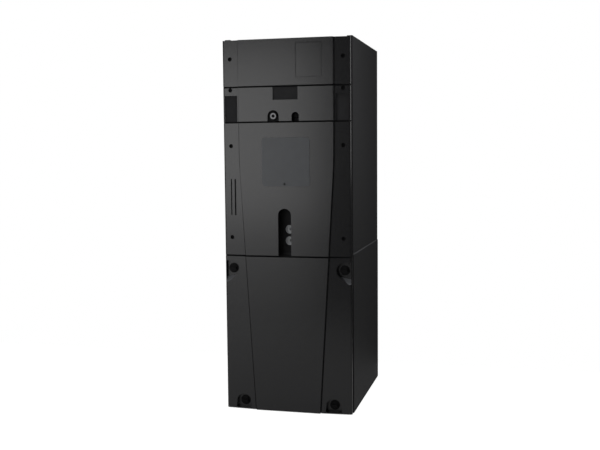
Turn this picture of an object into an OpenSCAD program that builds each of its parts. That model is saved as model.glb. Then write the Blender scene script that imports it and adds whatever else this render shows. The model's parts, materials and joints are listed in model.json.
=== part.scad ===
// Vertical air handler: air enters through the base, passes the filter, is blown up
// through the coil and leaves past the electric heater at the top.
// X is to the right seen from the front, the front faces -Y, Z is up from the floor.

/* [Cabinet] */
// Overall height, floor to the top of the side walls
cab_h = 1267.5; // [1240:0.5:1400]
// Overall width
cab_w = 444.5; // [430:0.5:540]
// Overall depth, badge plate to back
cab_d = 553.7; // [540:0.1:640]
// Thickness of the foamed walls
wall_t = 20; // [18:0.5:21]
// Thickness of the base, the blower deck and the top frame
slab_t = 25; // [18:0.5:30]
// Height of the joint between the lower and the upper section
split_z = 545; // [535:1:575]
// How far the lower section stands proud of the upper one on each side
section_step = 2; // [1:0.5:4]
// Height of the bevelled shoulder on the lower section
shoulder_h = 4; // [2:0.5:8]
// How far the side walls rise above the front panels
wall_rise = 6; // [3:0.5:10]
// Width of the post at the front edge of each side wall
post_w = 14; // [12:0.5:20]
// Depth of the front posts
post_d = 24; // [24:0.5:30]
// Height of the rails behind the panel seams
rail_h = 16; // [10:1:24]
// Depth of the rails behind the panel seams
rail_d = 18; // [12:1:20]

/* [Front panels] */
// Depth of a front panel, field face to back
panel_t = 36; // [34:0.5:44]
// Thickness of the gasket behind the panels
gasket_t = 3; // [2:0.5:5]
// Width of a gasket strip
gasket_w = 9; // [6:0.5:10]
// Width of the seam between two panels
seam_w = 5.5; // [2:0.5:6]
// Distance of the seam under the heater panel below the top of the side walls
heater_drop = 162.5; // [158:0.5:180]
// Distance between the seams above and below the line-set panel
line_panel_h = 118; // [115:1:130]
// How far the door's top seam lies below the joint of the sections
door_seam_drop = 10; // [6:1:16]
// Gap between the blower door and the floor
floor_gap = 2; // [1:0.5:6]
// Width of the margins beside the centre field on the upper panels
margin_w = 57.5; // [53:0.5:64]
// Width of the centre field at the floor
field_floor_w = 226; // [200:1:240]
// Distance below the line-set panel's lower seam at which the centre field starts to narrow
taper_drop = 137; // [90:1:190]
// Half length of the soft start of the taper
taper_blend = 60; // [30:5:100]
// Depth of the margins behind the field face at the narrow end of the field
margin_in = 4.5; // [3:0.5:6]
// Depth of the margins behind the field face at their outer edge
margin_out = 11; // [9:0.5:13]
// Width of the groove around the centre field
groove_w = 2.5; // [2:0.5:5]
// Depth of the field groove behind the field face
groove_depth = 11.5; // [11:0.5:14]
// How far the panels stop short of the cabinet's width on each side
panel_inset = 1.25; // [0.5:0.25:3]
// Radius of the panels' rounded outer edges
lip_r = 7; // [5:0.5:8]
// Depth of the shadow groove behind the panels' outer edges
shadow_w = 8; // [5:0.5:10]
// Where the shadow groove starts behind the field face
shadow_y = 20; // [19:0.5:24]

/* [Screws and latches] */
// Distance of the panel screws from the cabinet's side
screw_side = 28.25; // [26:0.25:32]
// Radius of a panel screw's head
screw_head_r = 5; // [4:0.25:6]
// Radius of a panel screw's shank
screw_r = 2.5; // [2:0.1:3]
// Radius of the recess around a screw head
screw_recess_r = 7; // [6.5:0.25:9]
// Depth of a screw's recess behind the field face
screw_recess_y = 18; // [16:0.5:20]
// Distance of the upper latches from the cabinet's side
latch_side = 27.25; // [25:0.25:32]
// Distance of the upper latches below the door's top seam
latch_drop = 45; // [40:1:60]
// Distance of the lower latches from the cabinet's side
low_latch_side = 63.75; // [58:0.25:72]
// Height of the lower latches
low_latch_z = 28; // [26:0.5:32]
// Radius of a latch pocket
pocket_r = 26; // [22:0.5:28]
// Depth of the latch pockets behind the field face
pocket_y = 27; // [24:0.5:29]
// Radius of a latch knob
knob_r = 12; // [9:0.5:14]
// Thickness of a latch knob's disc
knob_t = 4; // [3:0.5:6]
// Height of the grip bar on a latch knob
knob_grip = 7; // [4:0.5:8]
// Radius of a latch stud
stud_r = 5; // [4:0.25:6]
// Distance between the flats of a latch stud
stud_flat = 6; // [4:0.25:7]
// Thickness of the latch clips' sheet
clip_t = 1.2; // [0.8:0.1:2]
// Depth of a latch clip
clip_d = 16; // [12:0.5:18]
// Width of a latch clip
clip_w = 12; // [8:0.5:14]

/* [Line ports and drain] */
// Width of the recess under the line-set panel's top seam
tag_w = 86; // [60:1:100]
// Height of that recess
tag_h = 42; // [30:1:50]
// Depth of the recesses in the line-set panel
tag_depth = 4; // [2:0.5:6]
// Height of the recess in each margin of the line-set panel
side_tag_h = 90; // [60:1:95]
// Place of the suction line across the front
suction_x = -42; // [-60:1:-36]
// Width of the suction line's port
suction_port_w = 39; // [34:0.5:46]
// Radius of the suction line
suction_r = 11.1; // [8:0.1:12]
// Place of the liquid line across the front
liquid_x = 34; // [28:1:50]
// Width of the liquid line's port
liquid_port_w = 25; // [20:0.5:30]
// Radius of the liquid line
liquid_r = 4.75; // [3:0.05:6.5]
// Wall of the refrigerant lines
line_wall = 1.1; // [0.8:0.1:2]
// Height of the refrigerant lines above the line-set panel's lower seam
line_rise = 19.5; // [18:0.5:24]
// Centre of the drain slot across the front
slot_x = -6; // [-12:0.5:0]
// Width of the drain slot
slot_w = 45; // [42:0.5:56]
// Height of the drain slot as a share of the coil panel's height
slot_share = 0.3584; // [0.32:0.0001:0.4]
// Height of the primary drain port above the joint of the sections
drain_rise = 40; // [38:0.5:50]
// Distance between the two drain ports
drain_gap = 39; // [34:0.5:50]
// Inner radius of a drain port
drain_r = 11.9; // [9:0.1:12.5]
// Wall of a drain port
drain_wall = 3; // [2:0.5:4]

/* [Badge plate and breaker cover] */
// Width of the badge plate
plate_w = 165; // [140:1:190]
// Height of the badge plate as a share of the coil panel's height
plate_share = 0.3584; // [0.31:0.0001:0.42]
// Thickness of the badge plate
plate_t = 4; // [2:0.5:6]
// Corner radius of the badge plate
plate_r = 11; // [6:0.5:18]
// Distance of the badge plate's centre from the coil panel's top as a share of that panel's height
plate_drop_share = 0.2942; // [0.24:0.0001:0.34]
// How far the badge plate stands proud of the centre field
plate_proud = 1.5; // [0.5:0.25:1.75]
// Width of the breaker cover
cover_w = 86; // [84:0.5:100]
// Height of the breaker cover
cover_h = 112; // [100:0.5:116]
// Thickness of the breaker cover
cover_t = 3; // [2:0.25:4]
// Place of the breaker cover across the front
cover_x = 80.5; // [74:0.5:90]

/* [Filter and blower] */
// Thickness of the air filter
filter_t = 22; // [18:0.5:25]
// Gap between the filter and the back wall
filter_end = 14.2; // [5:0.1:30]
// Number of pleats in the filter media
pleats = 36; // [20:1:50]
// Radius of the blower wheel
wheel_r = 127; // [115:0.5:130]
// Distance of the wheel's ends from the outside of the housing
wheel_side = 13; // [10:0.5:30]
// Number of blades on the blower wheel
blades = 40; // [24:1:48]
// Radial depth of a blade
blade_d = 20; // [14:0.5:24]
// Thickness of a blade
blade_t = 1; // [0.8:0.1:1.6]
// Width of the blower housing
housing_w = 226; // [220:1:240]
// Wall of the blower housing
housing_t = 2.5; // [2:0.25:4]
// Gap between the wheel and the housing at its tongue
tongue_gap = 11; // [8:0.5:14]
// Growth of the scroll from its tongue to its outlet
scroll_grow = 47; // [35:1:52]
// Place of the tongue behind the wheel's axis
tongue_y = 20; // [10:1:30]
// Radius of the blower inlets
inlet_r = 106; // [100:0.5:108]
// Radius of the motor
motor_r = 66; // [55:0.5:75]
// Length of the motor
motor_l = 106; // [90:1:110]
// Radius of the motor shaft
shaft_r = 6.35; // [5:0.05:8]

/* [Coil and heater] */
// Thickness of a coil slab
slab_fin_t = 40; // [30:1:46]
// Distance of the coil's feet from the drain pan's sides
coil_side = 52.25; // [46:0.25:60]
// Wall of the drain pan
pan_t = 3; // [2:0.25:4]
// Height of the drain pan's rim above the joint of the sections
pan_h = 62; // [58:1:66]
// Distance of the drain pan's air opening from the coil's feet
collar_side = 25.5; // [23:0.5:32]
// Width of the frames beside the supply and return openings
duct_side = 27.25; // [25:0.25:45]
// Distance of the supply opening from the front and the back of the top
supply_end = 66.6; // [57:0.1:85]
// Distance of the return opening from the door sill and the back wall
return_end = 22.5; // [13:0.5:40]
// Radius of the power cable entry in the top
power_entry_r = 17.5; // [14:0.5:18]
// Radius of the control cable entry in the top
control_entry_r = 11.1; // [8:0.1:14]
// Distance of the cable entries from the middle
entry_x = 130; // [110:1:150]
// Radius of the heater rods
rod_r = 4; // [3:0.25:5]
// Length of the heater rods
rod_l = 330; // [280:1:350]
// Width of a circuit breaker
breaker_w = 38; // [34:0.5:38]
// Height of a circuit breaker
breaker_h = 86; // [76:0.5:88]

/* [Hidden] */

$fn = 64;
eps = 0.01;
run_gap = 0.3;    // between faces that pass each other
turn_gap = 0.1;   // between a stud or shaft and its hole
sheet_t = 1.5;    // folded steel sheet
charcoal = [0.27, 0.275, 0.285];
steel = [0.62, 0.63, 0.64];
copper = [0.66, 0.38, 0.22];
black = [0.06, 0.06, 0.065];

back_y = cab_d / 2;
face_y = -cab_d / 2 + plate_proud;
gasket_y = face_y + panel_t;
wall_y = gasket_y + gasket_t;
back_in = back_y - wall_t;
in_x = cab_w / 2 - wall_t;
low_x = cab_w / 2;
up_x = cab_w / 2 - section_step;
top_z = cab_h - wall_rise;
top_in = top_z - slab_t;
door_seam_z = split_z - door_seam_drop;
heater_seam_z = cab_h - heater_drop;
coil_seam_z = heater_seam_z - line_panel_h;
coil_panel_h = coil_seam_z - door_seam_z;
panel_x = cab_w / 2 - panel_inset;
field_w = 2 * (panel_x - margin_w);
taper_z = coil_seam_z - taper_drop;
slot_h = slot_share * coil_panel_h;
plate_h = plate_share * coil_panel_h;
plate_z = coil_seam_z - plate_drop_share * coil_panel_h;
low_latch_x = cab_w / 2 - low_latch_side;
duct_w = 2 * (in_x - duct_side);
supply_d = back_y - wall_y - 2 * supply_end;
screw_x = cab_w / 2 - screw_side;
latch_x = cab_w / 2 - latch_side;
latch_z = door_seam_z - latch_drop;
line_z = coil_seam_z + line_rise;
screw_zs = [top_z - 62.5, heater_seam_z - 9.5, coil_seam_z - 79, door_seam_z + 63];

// Half width of the centre field at height z
field_fall = (field_w - field_floor_w) / 2 / taper_z;
function field_x(z) =
    z > taper_z + taper_blend ? field_w / 2 :
    z < taper_z - taper_blend ? field_w / 2 - field_fall * (taper_z - z) :
    field_w / 2 - field_fall * pow(taper_z + taper_blend - z, 2) / (4 * taper_blend);

// Extrudes an outline drawn in X and Z backwards from y0 to y1
module slab_y(y0, y1) {
    translate([0, y1, 0]) rotate([90, 0, 0]) linear_extrude(y1 - y0) children();
}

// Extrudes an outline drawn in Y and Z from x0 to x1
module slab_x(x0, x1) {
    translate([x0, 0, 0]) rotate([90, 0, 90]) linear_extrude(x1 - x0) children();
}

// A box from its lowest to its highest corner
module box(a, b) { translate(a) cube(b - a); }

// An upright opening centred on x = 0 and y, and a rectangle centred on x and z
module well(w, d, y, z0, z1) { box([-w / 2, y - d / 2, z0], [w / 2, y + d / 2, z1]); }
module window(x, z, w, h) { translate([x, z]) square([w, h], center = true); }

// The children and their mirror image on the left
module both_sides() { for (s = [0, 1]) mirror([s, 0, 0]) children(); }

// A round bar along Y, and one along X
module bar_y(x, z, r, y0, y1) { translate([x, y1, z]) rotate([90, 0, 0]) cylinder(r = r, h = y1 - y0); }
module bar_x(y, z, r, x0, x1) { translate([x0, y, z]) rotate([0, 90, 0]) cylinder(r = r, h = x1 - x0); }

// A round rod between two points
module rod(p, q, r) {
    v = q - p;
    translate(p) rotate([0, acos(v.z / norm(v)), atan2(v.y, v.x)]) cylinder(r = r, h = norm(v));
}

module round_rect(w, h, r) {
    square([w - 2 * r, h], center = true);
    square([w, h - 2 * r], center = true);
    for (x = [-1, 1], z = [-1, 1]) translate([x * (w / 2 - r), z * (h / 2 - r)]) circle(r);
}

// Cabinet

clip_pocket = clip_w + 4;
// A length of the post beside the door
module post(z0, z1) {
    box([in_x - post_w, wall_y, z0], [in_x - turn_gap, wall_y + post_d, z1]);
}

// The lower post is two lengths with a web between them, behind the pocket of the latch clip
module lower_wall() {
    web_y = wall_y + clip_d + clip_t + turn_gap;
    slab_y(wall_y, back_y) polygon([[in_x, 0], [low_x, 0], [low_x, split_z - shoulder_h], [up_x, split_z],
        [in_x, split_z]]);
    post(low_latch_z - clip_pocket / 2 + turn_gap, latch_z - clip_pocket / 2);
    post(latch_z + clip_pocket / 2, split_z - slab_t);
    box([in_x - post_w, web_y, latch_z - clip_pocket / 2 + turn_gap],
        [in_x - turn_gap, wall_y + post_d, latch_z + clip_pocket / 2 - turn_gap]);
}

module upper_wall() {
    difference() {
        union() {
            slab_y(wall_y, back_y)
                polygon([[in_x, split_z], [up_x, split_z], [up_x, cab_h], [in_x, cab_h]]);
            box([in_x - post_w, wall_y, split_z], [in_x + eps, wall_y + post_d, top_in]);
        }
        for (z = screw_zs) bar_y(screw_x, z, screw_r + turn_gap, wall_y - eps, wall_y + post_d - 4);
    }
}

module lower_left_wall() { color(charcoal) mirror([1, 0, 0]) lower_wall(); }
module lower_right_wall() { color(charcoal) lower_wall(); }
module upper_left_wall() { color(charcoal) mirror([1, 0, 0]) upper_wall(); }
module upper_right_wall() { color(charcoal) upper_wall(); }
module lower_back_wall() { color(charcoal) box([-in_x, back_in, 0], [in_x, back_y, split_z]); }
module upper_back_wall() { color(charcoal) box([-in_x, back_in, split_z], [in_x, back_y, top_in]); }

// Base with the return opening
sill_h = low_latch_z + clip_pocket / 2 + 10;
sill_d = max(clip_d + clip_t + 6, post_d);
return_y = (wall_y + sill_d + back_in) / 2;
return_d = back_in - wall_y - sill_d - 2 * return_end;
module base_frame() {
    color(charcoal) {
        difference() {
            box([-in_x, wall_y + sill_d + turn_gap, 0], [in_x, back_in, slab_t]);
            well(duct_w, return_d, return_y, -eps, slab_t + eps);
        }
        door_sill();
    }
}

// Sill below the door: two bars with blocks between them that leave a pocket for each lower latch clip
module door_sill() {
    end_x = in_x - post_w - turn_gap;
    pocket_in = low_latch_x - clip_pocket / 2;
    pocket_out = low_latch_x + clip_pocket / 2;
    z0 = low_latch_z - clip_pocket / 2;
    z1 = low_latch_z + clip_pocket / 2;
    box([-in_x, wall_y, 0], [in_x, wall_y + sill_d, z0]);
    box([-end_x, wall_y, z1 + turn_gap], [end_x, wall_y + sill_d, sill_h]);
    box([-pocket_in, wall_y, z0 + turn_gap], [pocket_in, wall_y + sill_d, z1]);
    both_sides() {
        box([pocket_out, wall_y, z0 + turn_gap], [end_x, wall_y + sill_d, z1]);
        box([pocket_in + turn_gap, wall_y + clip_d + clip_t + turn_gap, z0 + turn_gap],
            [pocket_out - turn_gap, wall_y + sill_d, z1]);
    }
}

deck_z = split_z - slab_t;
module blower_deck() {
    color(charcoal) difference() {
        box([-in_x, wall_y, deck_z], [in_x, back_in, split_z]);
        box([-housing_w / 2, fan_y + tongue_y, deck_z - eps],
            [housing_w / 2, fan_y + outlet_r, split_z + eps]);
    }
}

supply_y = (wall_y + back_y) / 2;
entry_y = wall_y + 23;
entry_d = 2 * (entry_y - wall_y);
module top_frame() {
    color(charcoal) difference() {
        box([-in_x, wall_y + entry_d + turn_gap, top_in], [in_x, back_y, top_z]);
        well(duct_w, supply_d, supply_y, top_in - eps, top_z + eps);
    }
    color(charcoal) entry_strip();
}

// Front strip of the top with the two cable entries
module entry_strip() {
    difference() {
        box([-in_x, wall_y, top_in], [in_x, wall_y + entry_d, top_z]);
        translate([entry_x, entry_y, top_in - 1]) cylinder(r = power_entry_r, h = slab_t + 2);
        translate([-entry_x, entry_y, top_in - 1]) cylinder(r = control_entry_r, h = slab_t + 2);
    }
}

flange_w = 20;
module duct_flange() {
    color(steel) difference() {
        union() {
            well(duct_w + 2 * flange_w, supply_d + 2 * flange_w, supply_y, top_z, top_z + sheet_t);
            well(duct_w + 2 * sheet_t, supply_d + 2 * sheet_t, supply_y, top_z, cab_h - 0.5);
        }
        well(duct_w, supply_d, supply_y, top_z - eps, cab_h);
    }
}

module cross_rails() {
    color(steel) for (z = [coil_seam_z - rail_h / 2, heater_seam_z])
        box([-in_x + post_w, wall_y, z - rail_h / 2], [in_x - post_w, wall_y + rail_d, z + rail_h / 2]);
}

// Four gasket strips around a panel, butted together at the corners
module gasket_ring(z0, z1, y0, y1) {
    x = panel_x - shadow_w - 2;
    for (z = [z0, z1 - gasket_w]) box([-x, y0, z], [x, y1, z + gasket_w]);
    both_sides() box([x - gasket_w, y0, z0 + gasket_w + turn_gap], [x, y1, z1 - gasket_w - turn_gap]);
}

gasket_edge = 4;
module panel_gasket() {
    color(black) difference() {
        union() {
            gasket_ring(heater_seam_z + gasket_edge, top_z - gasket_edge, gasket_y, wall_y);
            gasket_ring(coil_seam_z + gasket_edge, heater_seam_z - gasket_edge, gasket_y, wall_y);
            gasket_ring(split_z - gasket_edge, coil_seam_z - gasket_edge, gasket_y, wall_y);
        }
        for (s = [-1, 1], z = screw_zs)
            bar_y(s * screw_x, z, screw_r + turn_gap, gasket_y - 1, wall_y + 1);
        bar_y(suction_x, line_z, suction_port_w / 2, gasket_y - 1, wall_y + 1);
        bar_y(liquid_x, line_z, liquid_port_w / 2, gasket_y - 1, wall_y + 1);
        box([slot_x - seal_x, gasket_y - 1, split_z - gasket_edge - 1],
            [slot_x + seal_x, wall_y + 1, split_z + gasket_w]);
    }
}

module door_gasket() {
    color(black)
        gasket_ring(sill_h - gasket_w, door_seam_z - gasket_edge, gasket_y, wall_y - run_gap);
}

// Front panels

// Cross-section of half a panel in X and Y, with Y from the field face backwards
margin_fall = (margin_out - margin_in) / (panel_x - lip_r - field_floor_w / 2);
half_section = concat(
    [[0, margin_in], [field_floor_w / 2, margin_in], [panel_x - lip_r, margin_out]],
    [for (a = [15:15:90]) [panel_x - lip_r + lip_r * sin(a), margin_out + lip_r * (1 - cos(a))]],
    [[panel_x, shadow_y], [panel_x - shadow_w, shadow_y], [panel_x - shadow_w, panel_t], [0, panel_t]]);
left_section = [for (i = [len(half_section) - 2:-1:1]) [-half_section[i].x, half_section[i].y]];

// Outline of the centre field between two heights, widened by w on each side
module field_outline(z0, z1, w) {
    bend_zs = [for (i = [-6:6]) taper_z + i * taper_blend / 6];
    zs = concat([z0], [for (z = bend_zs) if (z > z0 && z < z1) z], [z1]);
    polygon(concat(
        [for (z = zs) [field_x(z) + w, z]],
        [for (i = [len(zs) - 1:-1:0]) [-field_x(zs[i]) - w, zs[i]]]));
}

module panel(z0, z1) {
    difference() {
        translate([0, face_y, z0]) linear_extrude(z1 - z0) polygon(concat(half_section, left_section));
        slab_y(face_y - 1, face_y + groove_depth) difference() {
            field_outline(z0 - 1, z1 + 1, groove_w);
            field_outline(z0 - 2, z1 + 2, 0);
        }
    }
    slab_y(face_y, face_y + 2) field_outline(z0, z1, -1.5);
    slab_y(face_y + 2, face_y + groove_depth + 2) field_outline(z0, z1, 0);
}

module screw_holes(z) {
    for (s = [-1, 1]) {
        bar_y(s * screw_x, z, screw_recess_r, face_y - 1, face_y + screw_recess_y);
        bar_y(s * screw_x, z, screw_r + turn_gap, face_y, gasket_y + 1);
    }
}

cover_z = (heater_seam_z + top_z) / 2 + 7;
cover_gap = 1;
hinge_r = cover_t / 2;
hinge_y = face_y + hinge_r;
hinge_z = cover_z + cover_h / 2 - hinge_r;
pin_r = 0.8;
pin_l = 3;
window_edge = 6;
// Tongue below an upper panel, which closes the back of the seam and both of its ends
module seam_tongue(z0) {
    z = z0 - seam_w + run_gap;
    box([-panel_x + 1, face_y + shadow_y, z], [panel_x - 1, gasket_y - 1, z0 + eps]);
    both_sides() box([panel_x - shadow_w, face_y + margin_out + 4, z],
        [panel_x - 1, face_y + shadow_y + eps, z0 + eps]);
}

module heater_panel() {
    z0 = heater_seam_z + seam_w / 2;
    color(charcoal) difference() {
        union() {
            panel(z0, top_z);
            seam_tongue(z0);
        }
        screw_holes(screw_zs[0]);
        slab_y(face_y - 1, face_y + cover_t + cover_gap)
            window(cover_x, cover_z, cover_w + 2 * cover_gap, cover_h + 2 * cover_gap);
        slab_y(face_y, gasket_y + 1)
            window(cover_x, cover_z, cover_w - 2 * window_edge, cover_h - 2 * window_edge);
        bar_x(hinge_y, hinge_z, pin_r + turn_gap, cover_x - cover_w / 2 - cover_gap - pin_l,
            cover_x + cover_w / 2 + cover_gap + pin_l);
    }
}

// Cover over the breakers, hinged on two small pins at its top edge
module breaker_cover() {
    color([0.25, 0.255, 0.262]) {
        box([cover_x - cover_w / 2, face_y, cover_z - cover_h / 2],
            [cover_x + cover_w / 2, face_y + cover_t, hinge_z]);
        bar_x(hinge_y, hinge_z, hinge_r, cover_x - cover_w / 2, cover_x + cover_w / 2);
        bar_x(hinge_y, hinge_z, pin_r, cover_x - cover_w / 2 - pin_l, cover_x + cover_w / 2 + pin_l);
    }
}

// A port that is round above and open to the seam below
module port_outline(x, w) {
    translate([x, line_z]) circle(w / 2);
    translate([x - w / 2, coil_seam_z - seam_w]) square([w, line_rise + seam_w]);
}

side_tag_edge = 6;
module line_set_panel() {
    z0 = coil_seam_z + seam_w / 2;
    z1 = heater_seam_z - seam_w / 2;
    tag_x = field_x(coil_seam_z) + side_tag_edge;
    color(charcoal) difference() {
        union() {
            panel(z0, z1);
            seam_tongue(z0);
        }
        screw_holes(screw_zs[1]);
        box([-tag_w / 2, face_y - 1, z1 - tag_h], [tag_w / 2, face_y + tag_depth, z1 + 1]);
        both_sides() box([tag_x, face_y, coil_seam_z],
            [panel_x - lip_r, face_y + margin_out + tag_depth, coil_seam_z + side_tag_h]);
        slab_y(face_y - 1, gasket_y + 1) {
            port_outline(suction_x, suction_port_w);
            port_outline(liquid_x, liquid_port_w);
        }
    }
}

grip_h = 0.2721 * coil_panel_h;
grip_z = plate_z - 0.2633 * coil_panel_h;
grip_depth = 5;
grips = [[screw_x + 0.5, 4], [screw_x - 14.5, 7]];  // place and width
module coil_panel() {
    z0 = door_seam_z + seam_w / 2;
    z1 = coil_seam_z - seam_w / 2;
    color(charcoal) difference() {
        union() {
            panel(z0, z1);
            seam_tongue(z0);
        }
        for (i = [2, 3]) screw_holes(screw_zs[i]);
        slab_y(face_y - 1, face_y + plate_t - plate_proud) translate([0, plate_z])
            round_rect(plate_w + 2 * run_gap, plate_h + 2 * run_gap, plate_r + run_gap);
        bar_y(badge_screw_x, badge_screw_z, badge_screw_r + turn_gap, face_y, face_y + badge_screw_l + 1);
        slab_y(face_y - 1, gasket_y + 1) {
            translate([slot_x, door_seam_z + slot_h - slot_w / 2]) circle(slot_w / 2);
            translate([slot_x - slot_w / 2, z0 - 1])
                square([slot_w, door_seam_z + slot_h - slot_w / 2 - z0 + 1]);
        }
        for (g = grips) box([-g[0] - g[1] / 2, face_y, grip_z - grip_h / 2],
            [-g[0] + g[1] / 2, face_y + margin_out + grip_depth, grip_z + grip_h / 2]);
    }
}

module panel_screws() {
    color(black) for (s = [-1, 1], z = screw_zs) difference() {
        union() {
            bar_y(s * screw_x, z, screw_head_r, face_y + screw_recess_y - 3, face_y + screw_recess_y);
            bar_y(s * screw_x, z, screw_r, face_y + screw_recess_y - 1, wall_y + post_d - 6);
        }
        slab_y(face_y, face_y + screw_recess_y - 1.5)
            translate([s * screw_x, z]) circle(r = screw_head_r * 0.6, $fn = 6);
    }
}

badge_screw_x = -4.5;
badge_screw_r = 3.5;
badge_screw_z = plate_z - plate_h / 2 + badge_screw_r + 3;
badge_screw_l = 12;
plate_y = face_y - plate_proud;
module badge_plate() {
    color([0.34, 0.345, 0.355]) difference() {
        slab_y(plate_y, plate_y + plate_t) translate([0, plate_z]) round_rect(plate_w, plate_h, plate_r);
        bar_y(badge_screw_x, badge_screw_z, badge_screw_r + turn_gap, plate_y - 1, face_y + plate_t);
    }
}

module badge_screw() {
    color(black)
        bar_y(badge_screw_x, badge_screw_z, badge_screw_r, plate_y + run_gap, face_y + badge_screw_l);
}

// An upper latch's pocket, which flares towards the door's side and drops there by the given amount.
// A ramp leads into it from below, and a thin rim closes it at the side
pocket_drop = 30;
ramp_foot = 4;
side_rim = 2;
module high_pocket(drop) {
    side = panel_x - latch_x - side_rim;
    translate([latch_x, latch_z]) intersection() {
        union() {
            circle(pocket_r);
            polygon([[0, pocket_r], [pocket_r, pocket_r + 2], [pocket_r, -pocket_r - drop],
                [-pocket_r * 0.7, -pocket_r * 0.714]]);
        }
        translate([-2 * pocket_r, -4 * pocket_r]) square([2 * pocket_r + side, 8 * pocket_r]);
    }
}

// A lower latch's pocket, which flares towards the floor and ends at a thin rim above it
pocket_flare = 2;
foot_rim = 3.5;
module low_pocket() {
    foot = floor_gap + foot_rim - low_latch_z;
    wide = pocket_r + pocket_flare;
    translate([low_latch_x, low_latch_z]) intersection() {
        union() {
            circle(pocket_r);
            polygon([[-pocket_r, 0], [pocket_r, 0], [wide, foot], [-wide, foot]]);
        }
        translate([-2 * pocket_r, foot]) square(4 * pocket_r);
    }
}

module blower_door() {
    color(charcoal) difference() {
        union() {
            panel(floor_gap, door_seam_z - seam_w / 2);
            both_sides() box(
                [panel_x - shadow_w - eps, face_y + shadow_y - eps, latch_z - pocket_r - pocket_drop - 4],
                [panel_x - 1, gasket_y, door_seam_z - seam_w / 2]);
        }
        both_sides() {
            hull() {
                slab_y(face_y + margin_in - eps, face_y + margin_in) high_pocket(pocket_drop);
                slab_y(face_y + pocket_y - eps, face_y + pocket_y) high_pocket(ramp_foot);
            }
            slab_y(face_y - 1, face_y + pocket_y) low_pocket();
            bar_y(latch_x, latch_z, stud_r + turn_gap, face_y, gasket_y + 1);
            bar_y(low_latch_x, low_latch_z, stud_r + turn_gap, face_y, gasket_y + 1);
        }
    }
}

// A quarter-turn knob whose flattened stud slips into a spring clip
module knob(x, z) {
    y1 = face_y + pocket_y - run_gap;
    color([0.16, 0.165, 0.17]) {
        bar_y(x, z, knob_r, y1 - knob_t, y1);
        box([x - knob_r * 0.8, y1 - knob_t - knob_grip, z - 2.5],
            [x + knob_r * 0.8, y1 - knob_t + eps, z + 2.5]);
        bar_y(x, z, stud_r, y1 - eps, gasket_y);
        intersection() {
            bar_y(x, z, stud_r, gasket_y - eps, wall_y + clip_d - 2);
            box([x - stud_r, face_y, z - stud_flat / 2], [x + stud_r, wall_y + clip_d, z + stud_flat / 2]);
        }
    }
}
module knob_upper_left() { knob(-latch_x, latch_z); }
module knob_upper_right() { knob(latch_x, latch_z); }
module knob_lower_left() { knob(-low_latch_x, low_latch_z); }
module knob_lower_right() { knob(low_latch_x, low_latch_z); }

// U-shaped spring clips, each seated against the back of its pocket
module latch_clip(x, z) {
    gap = stud_r + run_gap;
    difference() {
        box([x - clip_w / 2, wall_y + 1, z - gap - clip_t],
            [x + clip_w / 2, wall_y + clip_d + clip_t, z + gap + clip_t]);
        box([x - clip_w / 2 - 1, wall_y, z - gap], [x + clip_w / 2 + 1, wall_y + clip_d, z + gap]);
    }
}
module latch_clips() {
    color(steel) for (s = [-1, 1]) {
        latch_clip(s * latch_x, latch_z);
        latch_clip(s * low_latch_x, low_latch_z);
    }
}

// Filter

filter_z = sill_h + 6;
filter_y = wall_y + 4;
filter_x = in_x - post_w - 1;
filter_l = back_in - filter_y - filter_end;
rail_wall = 4;
module filter_rail() {
    difference() {
        box([filter_x - 10, filter_y, filter_z - rail_wall - run_gap],
            [in_x, back_in, filter_z + filter_t + rail_wall + run_gap]);
        box([filter_x - 11, filter_y - 1, filter_z - run_gap],
            [filter_x + run_gap, back_in + 1, filter_z + filter_t + run_gap]);
        box([in_x - post_w - 1, filter_y - 1, 0], [in_x + 1, wall_y + post_d, split_z]);
    }
}
module filter_rails() { color(black) both_sides() filter_rail(); }

filter_rim = 16;
module filter_frame() {
    color([0.72, 0.70, 0.66]) difference() {
        box([-filter_x, filter_y, filter_z], [filter_x, filter_y + filter_l, filter_z + filter_t]);
        box([-filter_x + filter_rim, filter_y + filter_rim, filter_z - 1],
            [filter_x - filter_rim, filter_y + filter_l - filter_rim, filter_z + filter_t + 1]);
    }
}

// Pleated media, one zigzag sheet inside the frame
media_t = 1.2;
module filter_media() {
    y0 = filter_y + filter_rim;
    pitch = (filter_l - 2 * filter_rim) / pleats;
    low = 2;
    high = filter_t - 2 - media_t;
    zig = [for (i = [0:pleats * 2]) [y0 + i * pitch / 2, filter_z + (i % 2 == 0 ? low : high)]];
    color([0.86, 0.87, 0.88]) slab_x(-filter_x + filter_rim, filter_x - filter_rim)
        polygon(concat(zig, [for (i = [pleats * 2:-1:0]) zig[i] + [0, media_t]]));
}

// Blower

tongue_r = wheel_r + tongue_gap;
outlet_r = tongue_r + scroll_grow;
seal_t = 3;
fan_back = 42;
fan_drop = 50;
fan_y = back_in - outlet_r - housing_t - fan_back;
fan_z = deck_z - outlet_r - fan_drop;
tongue_a = acos(tongue_y / tongue_r);
scroll_steps = 30;
function scroll_r(a) = tongue_r + scroll_grow * (a - tongue_a) / (360 - tongue_a);

// The scroll seen along the axis, grown outwards by t
module scroll(t) {
    top = deck_z - seal_t - fan_z;
    translate([fan_y, fan_z]) polygon(concat(
        [for (i = [0:scroll_steps]) let (a = tongue_a + (360 - tongue_a) * i / scroll_steps)
            (scroll_r(a) + t) * [cos(a), sin(a)]],
        [[outlet_r + t, top], [tongue_y - t, top]]));
}

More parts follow.
